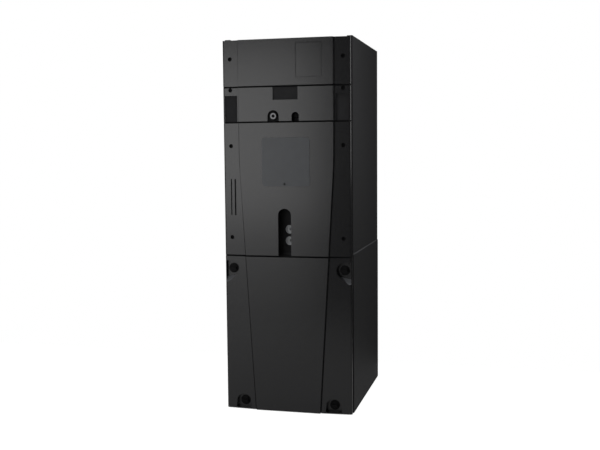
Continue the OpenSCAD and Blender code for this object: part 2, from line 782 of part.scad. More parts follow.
rail_x = housing_w / 2 + 20;
rail_drop = 12;
module housing_half() {
    w = housing_w / 2;
    difference() {
        union() {
            slab_x(0, w) difference() {
                scroll(housing_t);
                scroll(0);
            }
            slab_x(w - housing_t, w) scroll(housing_t);
            bar_x(fan_y, fan_z, inlet_r + housing_t, w - 11, w);
            box([w - eps, fan_y + tongue_y, deck_z - rail_drop],
                [rail_x - run_gap, fan_y + outlet_r, deck_z - rail_drop + 3]);
        }
        bar_x(fan_y, fan_z, inlet_r, w - 12, w + 1);
    }
}
module housing_left() { color([0.2, 0.2, 0.21]) mirror([1, 0, 0]) housing_half(); }
module housing_right() { color([0.2, 0.2, 0.21]) housing_half(); }

// Steel rails under the deck that the housing's flanges rest on
module blower_rails() {
    y0 = fan_y + tongue_y - 10;
    y1 = back_in;
    z0 = deck_z - rail_drop - sheet_t;
    color(steel) both_sides() {
        box([rail_x, y0, z0], [rail_x + sheet_t, y1, deck_z]);
        box([rail_x - 16, y0, z0], [rail_x + eps, y1, z0 + sheet_t]);
        box([rail_x + sheet_t - eps, y0, deck_z - sheet_t], [rail_x + 16, y1, deck_z]);
    }
}

seal_w = 6;
module housing_seal() {
    color(black) difference() {
        box([-housing_w / 2, fan_y + tongue_y - seal_w, deck_z - seal_t],
            [housing_w / 2, fan_y + outlet_r + seal_w, deck_z]);
        box([-housing_w / 2 + seal_w, fan_y + tongue_y, deck_z - seal_t - 1],
            [housing_w / 2 - seal_w, fan_y + outlet_r, deck_z + 1]);
    }
}

// Forward-curved wheel: blades crimped into two rims and a centre disc with a hub
wheel_w = housing_w - 2 * wheel_side;
rim_t = 3;
hub_r = 16;
hub_l = 44;
module blade() {
    mid = wheel_r - blade_d / 2;
    arc_r = blade_d * 0.62;
    difference() {
        translate([mid, 0]) circle(r = arc_r, $fn = 24);
        translate([mid, 0]) circle(r = arc_r - blade_t, $fn = 24);
        translate([mid - 2 * arc_r, -2 * arc_r]) square([4 * arc_r, 2 * arc_r + blade_t * 4]);
    }
}
module wheel_ring(x0, x1, r0, r1) {
    difference() {
        bar_x(fan_y, fan_z, r1, x0, x1);
        bar_x(fan_y, fan_z, r0, x0 - 1, x1 + 1);
    }
}
module blower_wheel() {
    w = wheel_w / 2;
    color(steel) {
        for (x = [-w, w - rim_t]) wheel_ring(x, x + rim_t, wheel_r - blade_d - 1, wheel_r);
        wheel_ring(-1, 1, hub_r - 1, wheel_r - blade_d - turn_gap);
        wheel_ring(-10, hub_l - 10, shaft_r + 0.05, hub_r);
    }
}
module wheel_blades() {
    x0 = rim_t + turn_gap - wheel_w / 2;
    color(steel) translate([x0, fan_y, fan_z]) rotate([90, 0, 90]) linear_extrude(-2 * x0)
        for (i = [0:blades - 1]) rotate(i * 360 / blades) intersection() {
            blade();
            tube(wheel_r - 0.5, blade_d - 0.5);
        }
}

motor_in = 97;
motor_x1 = motor_in - housing_w / 2;
motor_x0 = motor_x1 - motor_l;
cap_l = 22;
motor_bore = 30;
module motor_shaft() { color(steel) bar_x(fan_y, fan_z, shaft_r, motor_x1 - motor_bore + 1, hub_l - 6); }

module blower_motor() {
    color([0.12, 0.12, 0.13]) difference() {
        union() {
            bar_x(fan_y, fan_z, motor_r, motor_x0, motor_x1 - 4);
            bar_x(fan_y, fan_z, hub_r, motor_x1 - 4 - eps, motor_x1);
            bar_x(fan_y, fan_z, motor_r - 6, motor_x0 - cap_l, motor_x0 + eps);
            for (i = [0:7]) let (x = motor_x0 - cap_l + 2 + i * 2.5)
                bar_x(fan_y, fan_z, motor_r - 2, x, x + 1);
        }
        bar_x(fan_y, fan_z, shaft_r + turn_gap, motor_x1 - motor_bore, motor_x1 + 1);
    }
}

// Band around the motor with three arms bolted to the left inlet
band_w = 18;
arm_w = 14;
arm_over = 16;
module motor_bracket() {
    x0 = -housing_w / 2 - 3;
    color(steel) difference() {
        union() {
            wheel_ring(x0 - band_w / 2, x0 + band_w / 2, motor_r + 0.2, motor_r + 3);
            for (a = [90, 210, 330]) translate([x0, fan_y, fan_z]) rotate([a, 0, 0])
                box([0, motor_r + 2, -arm_w / 2], [3, inlet_r + arm_over, arm_w / 2]);
        }
        for (a = [90, 210, 330]) translate([x0 - 1, fan_y, fan_z]) rotate([a, 0, 0])
            translate([0, inlet_r + arm_over - 7, 0]) rotate([0, 90, 0]) cylinder(r = 3, h = 5);
    }
}

// Coil

pan_x = in_x - post_w - 3;
pan_y0 = wall_y + rail_d;
pan_y1 = back_in - 6;
pan_floor = split_z + 20;
coil_foot = pan_x - coil_side;
pan_open_w = 2 * (coil_foot - collar_side);
coil_y0 = pan_y0 + 46;
coil_y1 = pan_y1 - pan_t - 24;
collar_gap = 8;
pan_open_y0 = coil_y0 + collar_gap;
pan_open_y1 = coil_y1 - collar_gap;
collar_drop = 18;
drain_zs = [split_z + drain_rise, split_z + drain_rise + drain_gap];
drain_tip_y = pan_y0 - 7;
front_plate_z = drain_zs[1] + drain_r + drain_wall + 6;
module drain_pan() {
    color([0.16, 0.16, 0.165]) difference() {
        union() {
            difference() {
                box([-pan_x, pan_y0, split_z], [pan_x, pan_y1, split_z + pan_h]);
                box([-pan_x + pan_t, pan_y0 + pan_t, pan_floor],
                    [pan_x - pan_t, pan_y1 - pan_t, split_z + pan_h + 1]);
                box([-pan_x + pan_t, pan_y0 + pan_t, split_z - 1],
                    [pan_x - pan_t, pan_y1 - pan_t, pan_floor - pan_t]);
            }
            box([-pan_open_w / 2 - pan_t, pan_open_y0 - pan_t, split_z],
                [pan_open_w / 2 + pan_t, pan_open_y1 + pan_t, split_z + pan_h - collar_drop]);
            box([-30, pan_y0, split_z], [30, pan_y0 + pan_t, front_plate_z]);
            for (z = drain_zs) bar_y(0, z, drain_r + drain_wall, drain_tip_y, pan_y0 + pan_t);
        }
        box([-pan_open_w / 2, pan_open_y0, split_z - 1], [pan_open_w / 2, pan_open_y1, split_z + pan_h]);
        for (z = drain_zs) bar_y(0, z, drain_r, drain_tip_y - 1, pan_y0 + pan_t + 1);
    }
}

// Foam between the drain ports and the coil panel
seal_x = slot_w / 2 + 12;
module drain_seal() {
    color(black) difference() {
        box([slot_x - seal_x, gasket_y, split_z], [slot_x + seal_x, pan_y0, door_seam_z + slot_h + 8]);
        for (z = drain_zs) bar_y(0, z, drain_r + drain_wall + run_gap, gasket_y - 1, pan_y0 + 1);
    }
}

// Two slabs leaning against each other
coil_top = coil_seam_z - 12;
coil_foot_z = pan_floor + run_gap;
lean = atan((coil_foot - 4) / (coil_top - coil_foot_z));
coil_l = (coil_top - coil_foot_z - slab_fin_t * sin(lean)) / cos(lean);
tube_pitch = 25.4;
tube_n = 2 * floor((coil_l - 20) / tube_pitch / 2);
split_tube = 2 * floor(tube_n / 4) + 1;
function tube_t(j) = 10 + j * tube_pitch;
function tube_x(j) = coil_foot + slab_fin_t / 2 * cos(lean) - tube_t(j) * sin(lean);
function tube_z(j) = coil_foot_z + slab_fin_t / 2 * sin(lean) + tube_t(j) * cos(lean);
module coil_frame() { translate([coil_foot, 0, coil_foot_z]) rotate([0, -lean, 0]) children(); }
module coil_slab() {
    difference() {
        coil_frame() box([0, coil_y0, 0], [slab_fin_t, coil_y1, coil_l]);
        box([-slab_fin_t, coil_y0 - 1, coil_foot_z], [run_gap / 2, coil_y1 + 1, cab_h]);
    }
}
module coil_left() { color(steel) mirror([1, 0, 0]) coil_slab(); }
module coil_right() { color(steel) coil_slab(); }

module coil_end_plates() {
    z0 = coil_foot_z + 6;
    z1 = coil_foot_z + coil_l * cos(lean) - 30;
    x0 = coil_foot - 6 * tan(lean) - run_gap;
    x1 = x0 - (z1 - z0) * tan(lean);
    color([0.7, 0.71, 0.72]) for (y = [coil_y0 + 2, coil_y1 - 2 - sheet_t])
        slab_y(y, y + sheet_t) polygon([[-x0, z0], [x0, z0], [x1, z1], [-x1, z1]]);
}

bend_r = 4.8;
module return_bend(y, side) {
    translate([slab_fin_t / 2, y, 0]) rotate([0, 90, 0]) rotate([0, 0, side > 0 ? 0 : 180])
        rotate_extrude(angle = 180, $fn = 32) translate([tube_pitch / 2, 0]) circle(r = bend_r, $fn = 16);
}
module return_bends() {
    front_bends = [for (i = [1:2:tube_n - 3]) if (i != split_tube) i];
    color(copper) both_sides() coil_frame() {
        for (i = front_bends) translate([0, 0, tube_t(i + 0.5)]) return_bend(coil_y0, -1);
        for (i = [0:2:tube_n - 2]) translate([0, 0, tube_t(i + 0.5)]) return_bend(coil_y1, 1);
    }
}

// Refrigerant lines

line_y = pan_y0 + 14;
bend = 18;
module tube(r, wall) {
    difference() {
        circle(r);
        circle(r - wall);
    }
}

// A line that rises at line_y, turns forward and ends in a socket, l deep, which a field line is brazed into
socket_gap = 0.1;
swage_l = 2;
module elbow_line(x, r, z0, y_end, l) {
    socket_r = r + socket_gap;
    translate([x, line_y, z0]) linear_extrude(line_z - bend - z0) tube(r, line_wall);
    translate([x, line_y - bend, line_z - bend]) rotate([90, 0, 90])
        rotate_extrude(angle = 90) translate([bend, 0]) tube(r, line_wall);
    translate([x, line_y - bend, line_z]) rotate([90, 0, 0])
        linear_extrude(line_y - bend - y_end - l - swage_l) tube(r, line_wall);
    translate([x, y_end, line_z]) rotate([-90, 0, 0]) rotate_extrude() polygon([
        [socket_r, 0], [socket_r + line_wall, 0], [socket_r + line_wall, l],
        [r, l + swage_l], [r - line_wall, l + swage_l], [socket_r, l]]);
}

suction_rise = 50;
suction_z0 = split_z + pan_h + suction_rise;
suction_socket_l = 20;
stub_l = 9;
module suction_line() {
    color(copper) {
        elbow_line(suction_x, suction_r, suction_z0, face_y + 0.5, suction_socket_l);
        translate([suction_x, line_y, suction_z0 - 1.5]) cylinder(r = suction_r, h = 1.6);
        for (s = [-1, 1], j = [split_tube, tube_n - 1]) let (x = s * tube_x(j), z = tube_z(j)) {
            rod([suction_x + s * (suction_r - 0.6), line_y, z], [x, coil_y0 - stub_l, z], bend_r);
            bar_y(x, z, bend_r, coil_y0 - stub_l - 2, coil_y0);
        }
    }
}

valve_z = line_z - 70;
liquid_socket_l = 17;
module liquid_line() {
    color(copper) elbow_line(liquid_x, liquid_r, valve_z + 17, face_y + 14, liquid_socket_l);
}

module expansion_valve() {
    color([0.75, 0.62, 0.32]) translate([liquid_x, line_y, valve_z]) {
        translate([0, 0, -16]) cylinder(r = 10, h = 33);
        translate([8, 0, 0]) rotate([0, 90, 0]) cylinder(r = 9, h = 20);
        translate([0, 0, -34]) cylinder(r1 = 11, r2 = 6, h = 18.1);
    }
}

feeder_r = 2.4;
module feeder_tubes() {
    top = [liquid_x, line_y, valve_z - 34];
    color(copper) for (s = [-1, 1], j = [0, split_tube + 1]) {
        a = top + [s * 4, j > 0 ? 4 : -4, 0];
        b = [a.x, a.y, tube_z(j) + 30];
        c = [s * tube_x(j), coil_y0 - stub_l, tube_z(j)];
        rod(b - [0, 0, 2], a, feeder_r);
        rod(b, c, feeder_r);
        bar_y(c.x, c.z, feeder_r, c.y - 1, coil_y0);
    }
}

// A grommet filling its port around a line
module grommet(x, w, r, y0) {
    inset = run_gap;
    difference() {
        slab_y(y0, y0 + 12) {
            translate([x, line_z]) circle(w / 2 - inset);
            translate([x - w / 2 + inset, coil_seam_z + seam_w / 2])
                square([w - 2 * inset, line_rise - seam_w / 2]);
        }
        bar_y(x, line_z, r + socket_gap + line_wall + turn_gap, y0 - 1, y0 + 13);
    }
}
module suction_grommet() { color(black) grommet(suction_x, suction_port_w, suction_r, face_y + 6); }
module liquid_grommet() { color(black) grommet(liquid_x, liquid_port_w, liquid_r, face_y + 18); }

// Heater and controls

heater_y = wall_y + 46;
heater_z0 = heater_seam_z + rail_h / 2 + 3;
heater_z1 = top_in - 2;
heater_zc = (heater_z0 + heater_z1) / 2;
rod_xs = [-100, 0, 100];
rod_spread = 24;
rod_zs = [heater_zc - rod_spread, heater_zc + rod_spread];
rod_y1 = heater_y + rod_l;
module rod_holes(y) {
    for (x = rod_xs, z = rod_zs) bar_y(x, z, rod_r + turn_gap, y - 1, y + sheet_t + 1);
}

module heater_plate() {
    color(steel) difference() {
        box([-in_x, heater_y, heater_z0], [in_x, heater_y + sheet_t, heater_z1]);
        rod_holes(heater_y);
    }
}

module heater_rods() {
    color([0.35, 0.34, 0.33]) for (x = rod_xs) {
        for (z = rod_zs) bar_y(x, z, rod_r, heater_y, rod_y1);
        translate([x, rod_y1, heater_zc]) rotate([0, -90, 0])
            rotate_extrude(angle = 180) translate([rod_spread, 0]) circle(rod_r);
    }
}

// Two punched plates on side rails that carry the rods
rack_x = in_x - 30;
rack_h = 2 * (rod_spread + 12);
rack_ys = [heater_y + rod_l * 0.4, heater_y + rod_l * 0.85];
module heater_rack() {
    color(steel) {
        for (y = rack_ys) difference() {
            slab_y(y, y + sheet_t) window(0, heater_zc, 2 * rack_x, rack_h);
            rod_holes(y);
            for (x = [-50, 50]) slab_y(y - 1, y + sheet_t + 1) window(x, heater_zc, 68, rack_h / 2);
        }
        both_sides() box([rack_x - eps, heater_y + sheet_t, heater_zc - 10],
            [rack_x + sheet_t, rack_ys[1] + sheet_t, heater_zc + 10]);
    }
}

box_d = 36;
box_x0 = -in_x + post_w + 4;
box_x1 = -6;
module control_box() {
    color(steel) difference() {
        box([box_x0, heater_y - box_d, heater_z0 + 2], [box_x1, heater_y, heater_z1 - 2]);
        box([box_x0 + sheet_t, heater_y - box_d - 1, heater_z0 + 2 + sheet_t],
            [box_x1 - sheet_t, heater_y - sheet_t, heater_z1 - 2 - sheet_t]);
    }
}

board_y = heater_y - sheet_t - 10;
core_x = box_x1 - 31;
core_w = 42;
module control_board() {
    x0 = box_x0 + 10;
    x1 = core_x - core_w / 2 - 3.25;
    z0 = heater_z0 + 12;
    z1 = heater_z1 - 12;
    color([0.08, 0.32, 0.16]) {
        box([x0, board_y, z0], [x1, board_y + 1.6, z1]);
        for (x = [x0 + 6, x1 - 6], z = [z0 + 6, z1 - 6]) bar_y(x, z, 3, board_y + 1.5, heater_y - sheet_t);
        for (x = [x0 + 14, x0 + 42, x0 + 70])
            box([x, board_y - 16, z0 + 10], [x + 22, board_y + eps, z0 + 30]);
        box([x0 + 14, board_y - 11, z1 - 22], [x1 - 14, board_y + eps, z1 - 10]);
    }
}

module transformer() {
    color([0.2, 0.2, 0.22]) {
        slab_y(board_y - 18, heater_y - sheet_t) window(core_x, heater_zc, core_w, 44);
        slab_y(board_y - 24, board_y - 18 + eps) window(core_x, heater_zc, 28, 28);
    }
}

// Two double-pole breakers behind the cover, each with a tilting toggle
breaker_y0 = face_y + 22;
toggle_y = breaker_y0 + 6;
toggle_z = cover_z + 4;
toggle_w = 16;
toggle_r = 7;
toggle_pin_r = 2;
toggle_tilt = -20;
breaker_xs = [cover_x - breaker_w / 2 - 0.25, cover_x + breaker_w / 2 + 0.25];
module breaker(x) {
    color(black) difference() {
        union() {
            slab_y(gasket_y + 6, heater_y) window(x, cover_z, breaker_w, breaker_h);
            slab_y(breaker_y0, wall_y + 10) window(x, cover_z + 3, breaker_w - 6, 54);
        }
        slab_y(breaker_y0 - 1, toggle_y + toggle_r + 3)
            window(x, toggle_z, toggle_w + 2 * run_gap, 2 * toggle_r + 12);
        bar_x(toggle_y, toggle_z, toggle_pin_r + turn_gap, x - toggle_w / 2 - 3, x + toggle_w / 2 + 3);
    }
}
module toggle(x) {
    color([0.85, 0.85, 0.83]) {
        bar_x(toggle_y, toggle_z, toggle_r, x - toggle_w / 2, x + toggle_w / 2);
        bar_x(toggle_y, toggle_z, toggle_pin_r, x - toggle_w / 2 - 2.5, x + toggle_w / 2 + 2.5);
        translate([x, toggle_y, toggle_z]) rotate([toggle_tilt, 0, 0])
            box([-toggle_w / 2 + 1, -toggle_r - 9, -2.5], [toggle_w / 2 - 1, 0, 2.5]);
    }
}
module breaker_left() { breaker(breaker_xs[0]); }
module breaker_right() { breaker(breaker_xs[1]); }
module toggle_left() { toggle(breaker_xs[0]); }
module toggle_right() { toggle(breaker_xs[1]); }

lower_left_wall();
lower_right_wall();
lower_back_wall();
base_frame();
blower_deck();
upper_left_wall();
upper_right_wall();
upper_back_wall();
top_frame();
duct_flange();
cross_rails();
panel_gasket();
heater_panel();
line_set_panel();
coil_panel();
panel_screws();
badge_plate();
badge_screw();
breaker_cover();
blower_door();
door_gasket();
knob_upper_left();
knob_upper_right();
knob_lower_left();
knob_lower_right();
latch_clips();
filter_rails();
filter_frame();
filter_media();
blower_rails();
housing_left();
housing_right();
housing_seal();
blower_wheel();
wheel_blades();
motor_shaft();
blower_motor();
motor_bracket();
drain_pan();
drain_seal();
coil_left();
coil_right();
coil_end_plates();
return_bends();
suction_line();
suction_grommet();
liquid_line();
liquid_grommet();
expansion_valve();
feeder_tubes();
heater_plate();
heater_rack();
heater_rods();
control_box();
control_board();
transformer();
breaker_left();
breaker_right();
toggle_left();
toggle_right();
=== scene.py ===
"""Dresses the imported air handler: paint, rubber, copper and the small parts that the solids leave plain.

Every piece is in metres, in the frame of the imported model: X to the right seen from the front,
the front faces -Y, Z up from the floor.
"""

import json
import math

import bmesh
import bpy
from mathutils import Matrix, Vector


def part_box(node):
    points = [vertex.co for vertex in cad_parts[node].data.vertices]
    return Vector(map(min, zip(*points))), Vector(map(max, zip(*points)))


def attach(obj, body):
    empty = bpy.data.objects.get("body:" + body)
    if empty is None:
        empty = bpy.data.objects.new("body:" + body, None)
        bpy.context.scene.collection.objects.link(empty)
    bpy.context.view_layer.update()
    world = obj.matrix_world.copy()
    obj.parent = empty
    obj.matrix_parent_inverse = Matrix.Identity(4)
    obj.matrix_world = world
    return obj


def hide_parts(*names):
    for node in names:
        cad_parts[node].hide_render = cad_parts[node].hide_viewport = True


bl_info = {
    "name": "Air handler",
    "version": (1, 0, 0),
    "blender": (4, 5, 0),
    "location": "View3D > Sidebar > Air handler",
    "description": "Finishes a vertical air handler piece by piece",
    "category": "Object",
}

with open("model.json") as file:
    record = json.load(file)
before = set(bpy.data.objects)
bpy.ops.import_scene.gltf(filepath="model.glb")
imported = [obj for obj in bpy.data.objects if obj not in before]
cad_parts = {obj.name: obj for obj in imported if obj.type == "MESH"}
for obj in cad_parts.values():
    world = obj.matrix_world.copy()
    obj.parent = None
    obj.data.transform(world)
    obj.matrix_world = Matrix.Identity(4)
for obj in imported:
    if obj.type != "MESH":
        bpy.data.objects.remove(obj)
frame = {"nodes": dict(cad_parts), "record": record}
NODES = frame["nodes"]
BODY_OF = {node: body for body, nodes in frame["record"]["behaviour"]["bodies"].items() for node in nodes}
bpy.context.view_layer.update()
MM = 0.001


def tone(*screen):
    """A linear colour from 8-bit screen values of red, green and blue."""
    return tuple(((v / 255 + 0.055) / 1.055) ** 2.4 if v > 10 else v / 255 / 12.92 for v in screen)


def in_mm(*points):
    """Points written in millimetres."""
    return [tuple(v * MM for v in point) for point in points]


def starts(values, gap):
    """Where each run of values begins, when a run is no longer than gap."""
    found = []
    for value in sorted(values):
        if not found or value - found[-1] > gap:
            found.append(value)
    return found


# Sizes and colours that a user would change


class PaintSettings(bpy.types.PropertyGroup):
    panel: bpy.props.FloatVectorProperty(
        name="Panel paint",
        description="Colour of the upper front panels",
        subtype="COLOR",
        default=tone(19, 19, 20),
    )
    door: bpy.props.FloatVectorProperty(
        name="Door paint", description="Colour of the blower door", subtype="COLOR", default=tone(19, 19, 20)
    )
    walls: bpy.props.FloatVectorProperty(
        name="Wall paint",
        description="Colour of the cabinet's walls",
        subtype="COLOR",
        default=tone(34, 34, 35),
    )
    badge: bpy.props.FloatVectorProperty(
        name="Badge plate",
        description="Colour of the bare badge plate",
        subtype="COLOR",
        default=tone(44, 46, 49),
    )
    grain: bpy.props.FloatProperty(
        name="Paint grain", description="Width of a bump in the powder coat", default=0.9 * MM, unit="LENGTH"
    )


class EdgeSettings(bpy.types.PropertyGroup):
    panel: bpy.props.FloatProperty(
        name="Panel edges", description="Rounding of the panels' edges", default=0.9 * MM, unit="LENGTH"
    )
    wall: bpy.props.FloatProperty(
        name="Wall edges", description="Rounding of the walls' folded edges", default=1.5 * MM, unit="LENGTH"
    )
    small: bpy.props.FloatProperty(
        name="Small edges",
        description="Rounding of small moulded and folded parts",
        default=0.4 * MM,
        unit="LENGTH",
    )


class StageSettings(bpy.types.PropertyGroup):
    camera_place: bpy.props.FloatVectorProperty(
        name="Camera",
        description="Where the camera stands",
        subtype="TRANSLATION",
        default=(0.7714, -3.1653, 0.8922),
    )
    camera_turn: bpy.props.FloatVectorProperty(
        name="Camera turn",
        description="Pitch, roll and yaw of the camera",
        subtype="EULER",
        default=tuple(map(math.radians, (-4.7833, -0.4878, 14.0624))),
    )
    lens: bpy.props.FloatProperty(
        name="Lens",
        description="Focal length on a 36 mm wide sensor",
        default=53.61,
        subtype="DISTANCE_CAMERA",
    )


SETTINGS = {"handler_paint": PaintSettings, "handler_edges": EdgeSettings, "handler_stage": StageSettings}


# Materials


def add_node(tree, kind, links=None, **settings):
    """A new node; settings are its properties, links its inputs by name, as values or sockets."""
    node = tree.nodes.new(kind)
    for key, value in settings.items():
        setattr(node, key, value)
    for key, value in (links or {}).items():
        if isinstance(value, bpy.types.NodeSocket):
            tree.links.new(value, node.inputs[key])
        else:
            node.inputs[key].default_value = value
    return node


class Finish:
    """A procedural material under construction, on object coordinates."""

    def __init__(self, name, color, roughness=0.5, metallic=0.0, specular=0.5):
        self.material = bpy.data.materials.new(name)
        self.material.use_nodes = True
        self.color = (*color[:3], 1)
        self.material.diffuse_color = self.color
        self.tree = self.material.node_tree
        self.inputs = self.tree.nodes["Principled BSDF"].inputs
        self.inputs["Base Color"].default_value = self.color
        self.inputs["Roughness"].default_value = roughness
        self.inputs["Metallic"].default_value = metallic
        self.inputs["Specular IOR Level"].default_value = specular
        self.place = self.add("ShaderNodeTexCoord").outputs["Object"]

    def add(self, kind, links=None, **settings):
        return add_node(self.tree, kind, links, **settings)

    def link(self, socket, name):
        self.tree.links.new(socket, self.inputs[name])

    def noise(self, size, detail=2.0, stretch=None, roughness=0.5):
        """Noise whose blobs are about size metres wide, stretched along the axes by stretch."""
        place = self.place
        if stretch:
            place = self.add("ShaderNodeMapping", {"Vector": place, "Scale": stretch}).outputs["Vector"]
        links = {"Vector": place, "Scale": 1 / size, "Detail": detail, "Roughness": roughness}
        return self.add("ShaderNodeTexNoise", links).outputs["Fac"]

    def cells(self, size, output="Distance"):
        return self.add("ShaderNodeTexVoronoi", {"Vector": self.place, "Scale": 1 / size}).outputs[output]

    def range(self, value, low, high, to_low, to_high):
        links = {"Value": value, "From Min": low, "From Max": high, "To Min": to_low, "To Max": to_high}
        return self.add("ShaderNodeMapRange", links).outputs["Result"]

    def mix(self, amount, first, second):
        """Blends two colours, given as three values each."""
        links = {0: amount, 6: (*first, 1), 7: (*second, 1)}
        return self.add("ShaderNodeMix", links, data_type="RGBA").outputs[2]

    def vary(self, value, amount, low=0.3, high=0.7):
        """Lightens and darkens the base colour by amount as value goes from low to high."""
        shades = [[c * (1 + change) for c in self.color[:3]] for change in (-amount, amount)]
        self.link(self.mix(self.range(value, low, high, 0, 1), *shades), "Base Color")

    def bump(self, height, depth, strength=1.0, below=None):
        links = {"Height": height, "Distance": depth, "Strength": strength}
        if below:
            links["Normal"] = below
        normal = self.add("ShaderNodeBump", links).outputs["Normal"]
        self.link(normal, "Normal")
        return normal


def powder_coat(name, color, grain, roughness=0.24, specular=0.3):
    """Satin powder coat: an orange-peel skin over slow waves in the sheet."""
    coat = Finish(name, color, roughness, specular=specular)
    peel = coat.noise(grain, detail=3)
    waves = coat.noise(0.12, detail=1)
    coat.vary(coat.noise(0.35), 0.05)
    coat.link(coat.range(peel, 0.3, 0.7, roughness - 0.06, roughness + 0.08), "Roughness")
    flat = coat.bump(waves, 0.4 * MM, 0.25)
    coat.bump(peel, 0.08 * MM, 0.5, below=flat)
    return coat.material


def moulded_plastic(name, color, roughness=0.55, specular=0.3):
    """Spark-eroded grain of a moulding."""
    plastic = Finish(name, color, roughness, specular=specular)
    grain = plastic.noise(0.5 * MM, detail=4, roughness=0.65)
    plastic.vary(plastic.noise(30 * MM, detail=3), 0.07)
    plastic.link(plastic.range(grain, 0.3, 0.7, roughness - 0.1, roughness + 0.1), "Roughness")
    plastic.bump(grain, 0.06 * MM, 0.6)
    return plastic.material


def galvanized(name, color):
    """Zinc spangle: crystals of differing brightness with soft edges."""
    zinc = Finish(name, color, 0.42, metallic=1.0)
    crystals = zinc.cells(9 * MM, "Color")
    shade = zinc.add("ShaderNodeSeparateColor", {"Color": crystals}).outputs["Red"]
    zinc.vary(shade, 0.16, 0, 1)
    zinc.link(zinc.range(shade, 0, 1, 0.34, 0.52), "Roughness")
    zinc.bump(zinc.noise(1.5 * MM, detail=3), 0.03 * MM, 0.5)
    return zinc.material


def foam_rubber(name, color):
    """Closed-cell foam or moulded rubber: tiny pores in a dull skin."""
    foam = Finish(name, color, 0.85, specular=0.2)
    foam.vary(foam.noise(15 * MM, detail=3), 0.15)
    foam.bump(foam.cells(0.9 * MM), 0.15 * MM, 0.7)
    return foam.material


def drawn_copper(name, color):
    """Drawn tube: faint lines along Z and brown bloom where it was heated."""
    copper = Finish(name, color, 0.3, metallic=1.0)
    lines = copper.noise(0.6 * MM, stretch=(1, 1, 0.03))
    bloom = copper.noise(35 * MM, detail=4)
    tarnish = tuple(c * 0.45 for c in color)
    copper.link(copper.mix(copper.range(bloom, 0.48, 0.72, 0, 1), color, tarnish), "Base Color")
    copper.link(copper.range(bloom, 0.35, 0.7, 0.24, 0.5), "Roughness")
    copper.bump(lines, 0.03 * MM, 0.5)
    return copper.material


def brushed(name, color, roughness=0.35, stretch=(0.02, 1, 1)):
    """Turned or brushed metal with fine lines along one axis."""
    metal = Finish(name, color, roughness, metallic=1.0)
    lines = metal.noise(0.4 * MM, detail=3, stretch=stretch)
    metal.vary(metal.noise(25 * MM, detail=3), 0.08)
    metal.link(metal.range(lines, 0.3, 0.7, roughness - 0.08, roughness + 0.1), "Roughness")
    metal.bump(lines, 0.02 * MM, 0.6)
    return metal.material


def fibres(name, color, amount=0.12):
    """Matted fibres: paperboard or non-woven filter cloth."""
    mat = Finish(name, color, 0.9, specular=0.15)
    strands = mat.noise(0.8 * MM, detail=5, stretch=(0.35, 1, 1), roughness=0.7)
    mat.vary(strands, amount)
    mat.bump(strands, 0.25 * MM, 0.8)
    return mat.material


FINISHES = {}


def make_finishes(paint):
    """Every material of the object, by its own name."""
    grain = paint.grain
    looks = {
        "wall_paint": (powder_coat, paint.walls, grain, 0.6, 0.08),
        # The shoulder's paler paint is a painted highlight where the ledge catches light from above
        "shoulder_highlight": (powder_coat, tone(62, 62, 64), grain, 0.5, 0.1),
        # The ramps' pale paint is a painted highlight on slopes that face up toward the light
        "ramp_highlight": (powder_coat, tone(72, 73, 75), grain, 0.85, 0.05),
        # The dark recess finish is painted shade on the floors of flat recesses and in the grooves beside the
        # centre fields
        "recess_shade": (foam_rubber, tone(26, 26, 27)),
        "panel_paint": (powder_coat, paint.panel, grain),
        "door_paint": (powder_coat, paint.door, grain),
        "badge_plastic": (moulded_plastic, paint.badge, 0.45, 0.35),
        "black_plastic": (moulded_plastic, tone(26, 27, 29)),
        "knob_plastic": (moulded_plastic, tone(7, 7, 8), 0.6, 0.08),
        # The fittings' plastic is pale and made lighter still as a painted highlight of the bushings lit in
        # the drain slot
        "fitting_plastic_and_highlight": (moulded_plastic, tone(178, 180, 182), 0.4, 0.4),
        "cap_plastic": (moulded_plastic, tone(118, 118, 120)),
        "housing_plastic": (moulded_plastic, tone(40, 41, 43)),
        "pale_plastic": (moulded_plastic, tone(214, 212, 205), 0.4),
        "zinc": (galvanized, tone(168, 171, 174)),
        "black_steel": (powder_coat, tone(12, 12, 13), 0.4 * MM, 0.7, 0.08),
        "bright_steel": (brushed, tone(176, 178, 180), 0.3),
        "wheel_steel": (galvanized, tone(150, 153, 156)),
        "motor_enamel": (powder_coat, tone(32, 33, 35), 0.6 * MM, 0.4, 0.5),
        # This dark finish is the seals' own foam and also painted shade in the seams, on the door's top edge
        # and round the screws
        "foam": (foam_rubber, tone(14, 14, 15)),
        "rubber": (foam_rubber, tone(13, 13, 14)),
        "copper": (drawn_copper, tone(190, 112, 74)),
        "brass": (brushed, tone(196, 160, 92), 0.3),
        "fin_aluminium": (brushed, tone(190, 192, 195), 0.4),
        "heater_sheath": (brushed, tone(86, 80, 75), 0.5, (1, 0.02, 1)),
        "board_mask": (moulded_plastic, tone(28, 84, 48), 0.35, 0.5),
        "relay_plastic": (moulded_plastic, tone(24, 46, 84), 0.4, 0.4),
        "lamination": (brushed, tone(70, 71, 74), 0.5, (1, 1, 0.02)),
        "winding": (brushed, tone(150, 92, 40), 0.45, (1, 1, 0.05)),
        "paperboard": (fibres, tone(186, 172, 142)),
        "filter_cloth": (fibres, tone(224, 226, 228), 0.06),
    }
    for name, (look, *values) in looks.items():
        FINISHES[name] = look(name, *values)


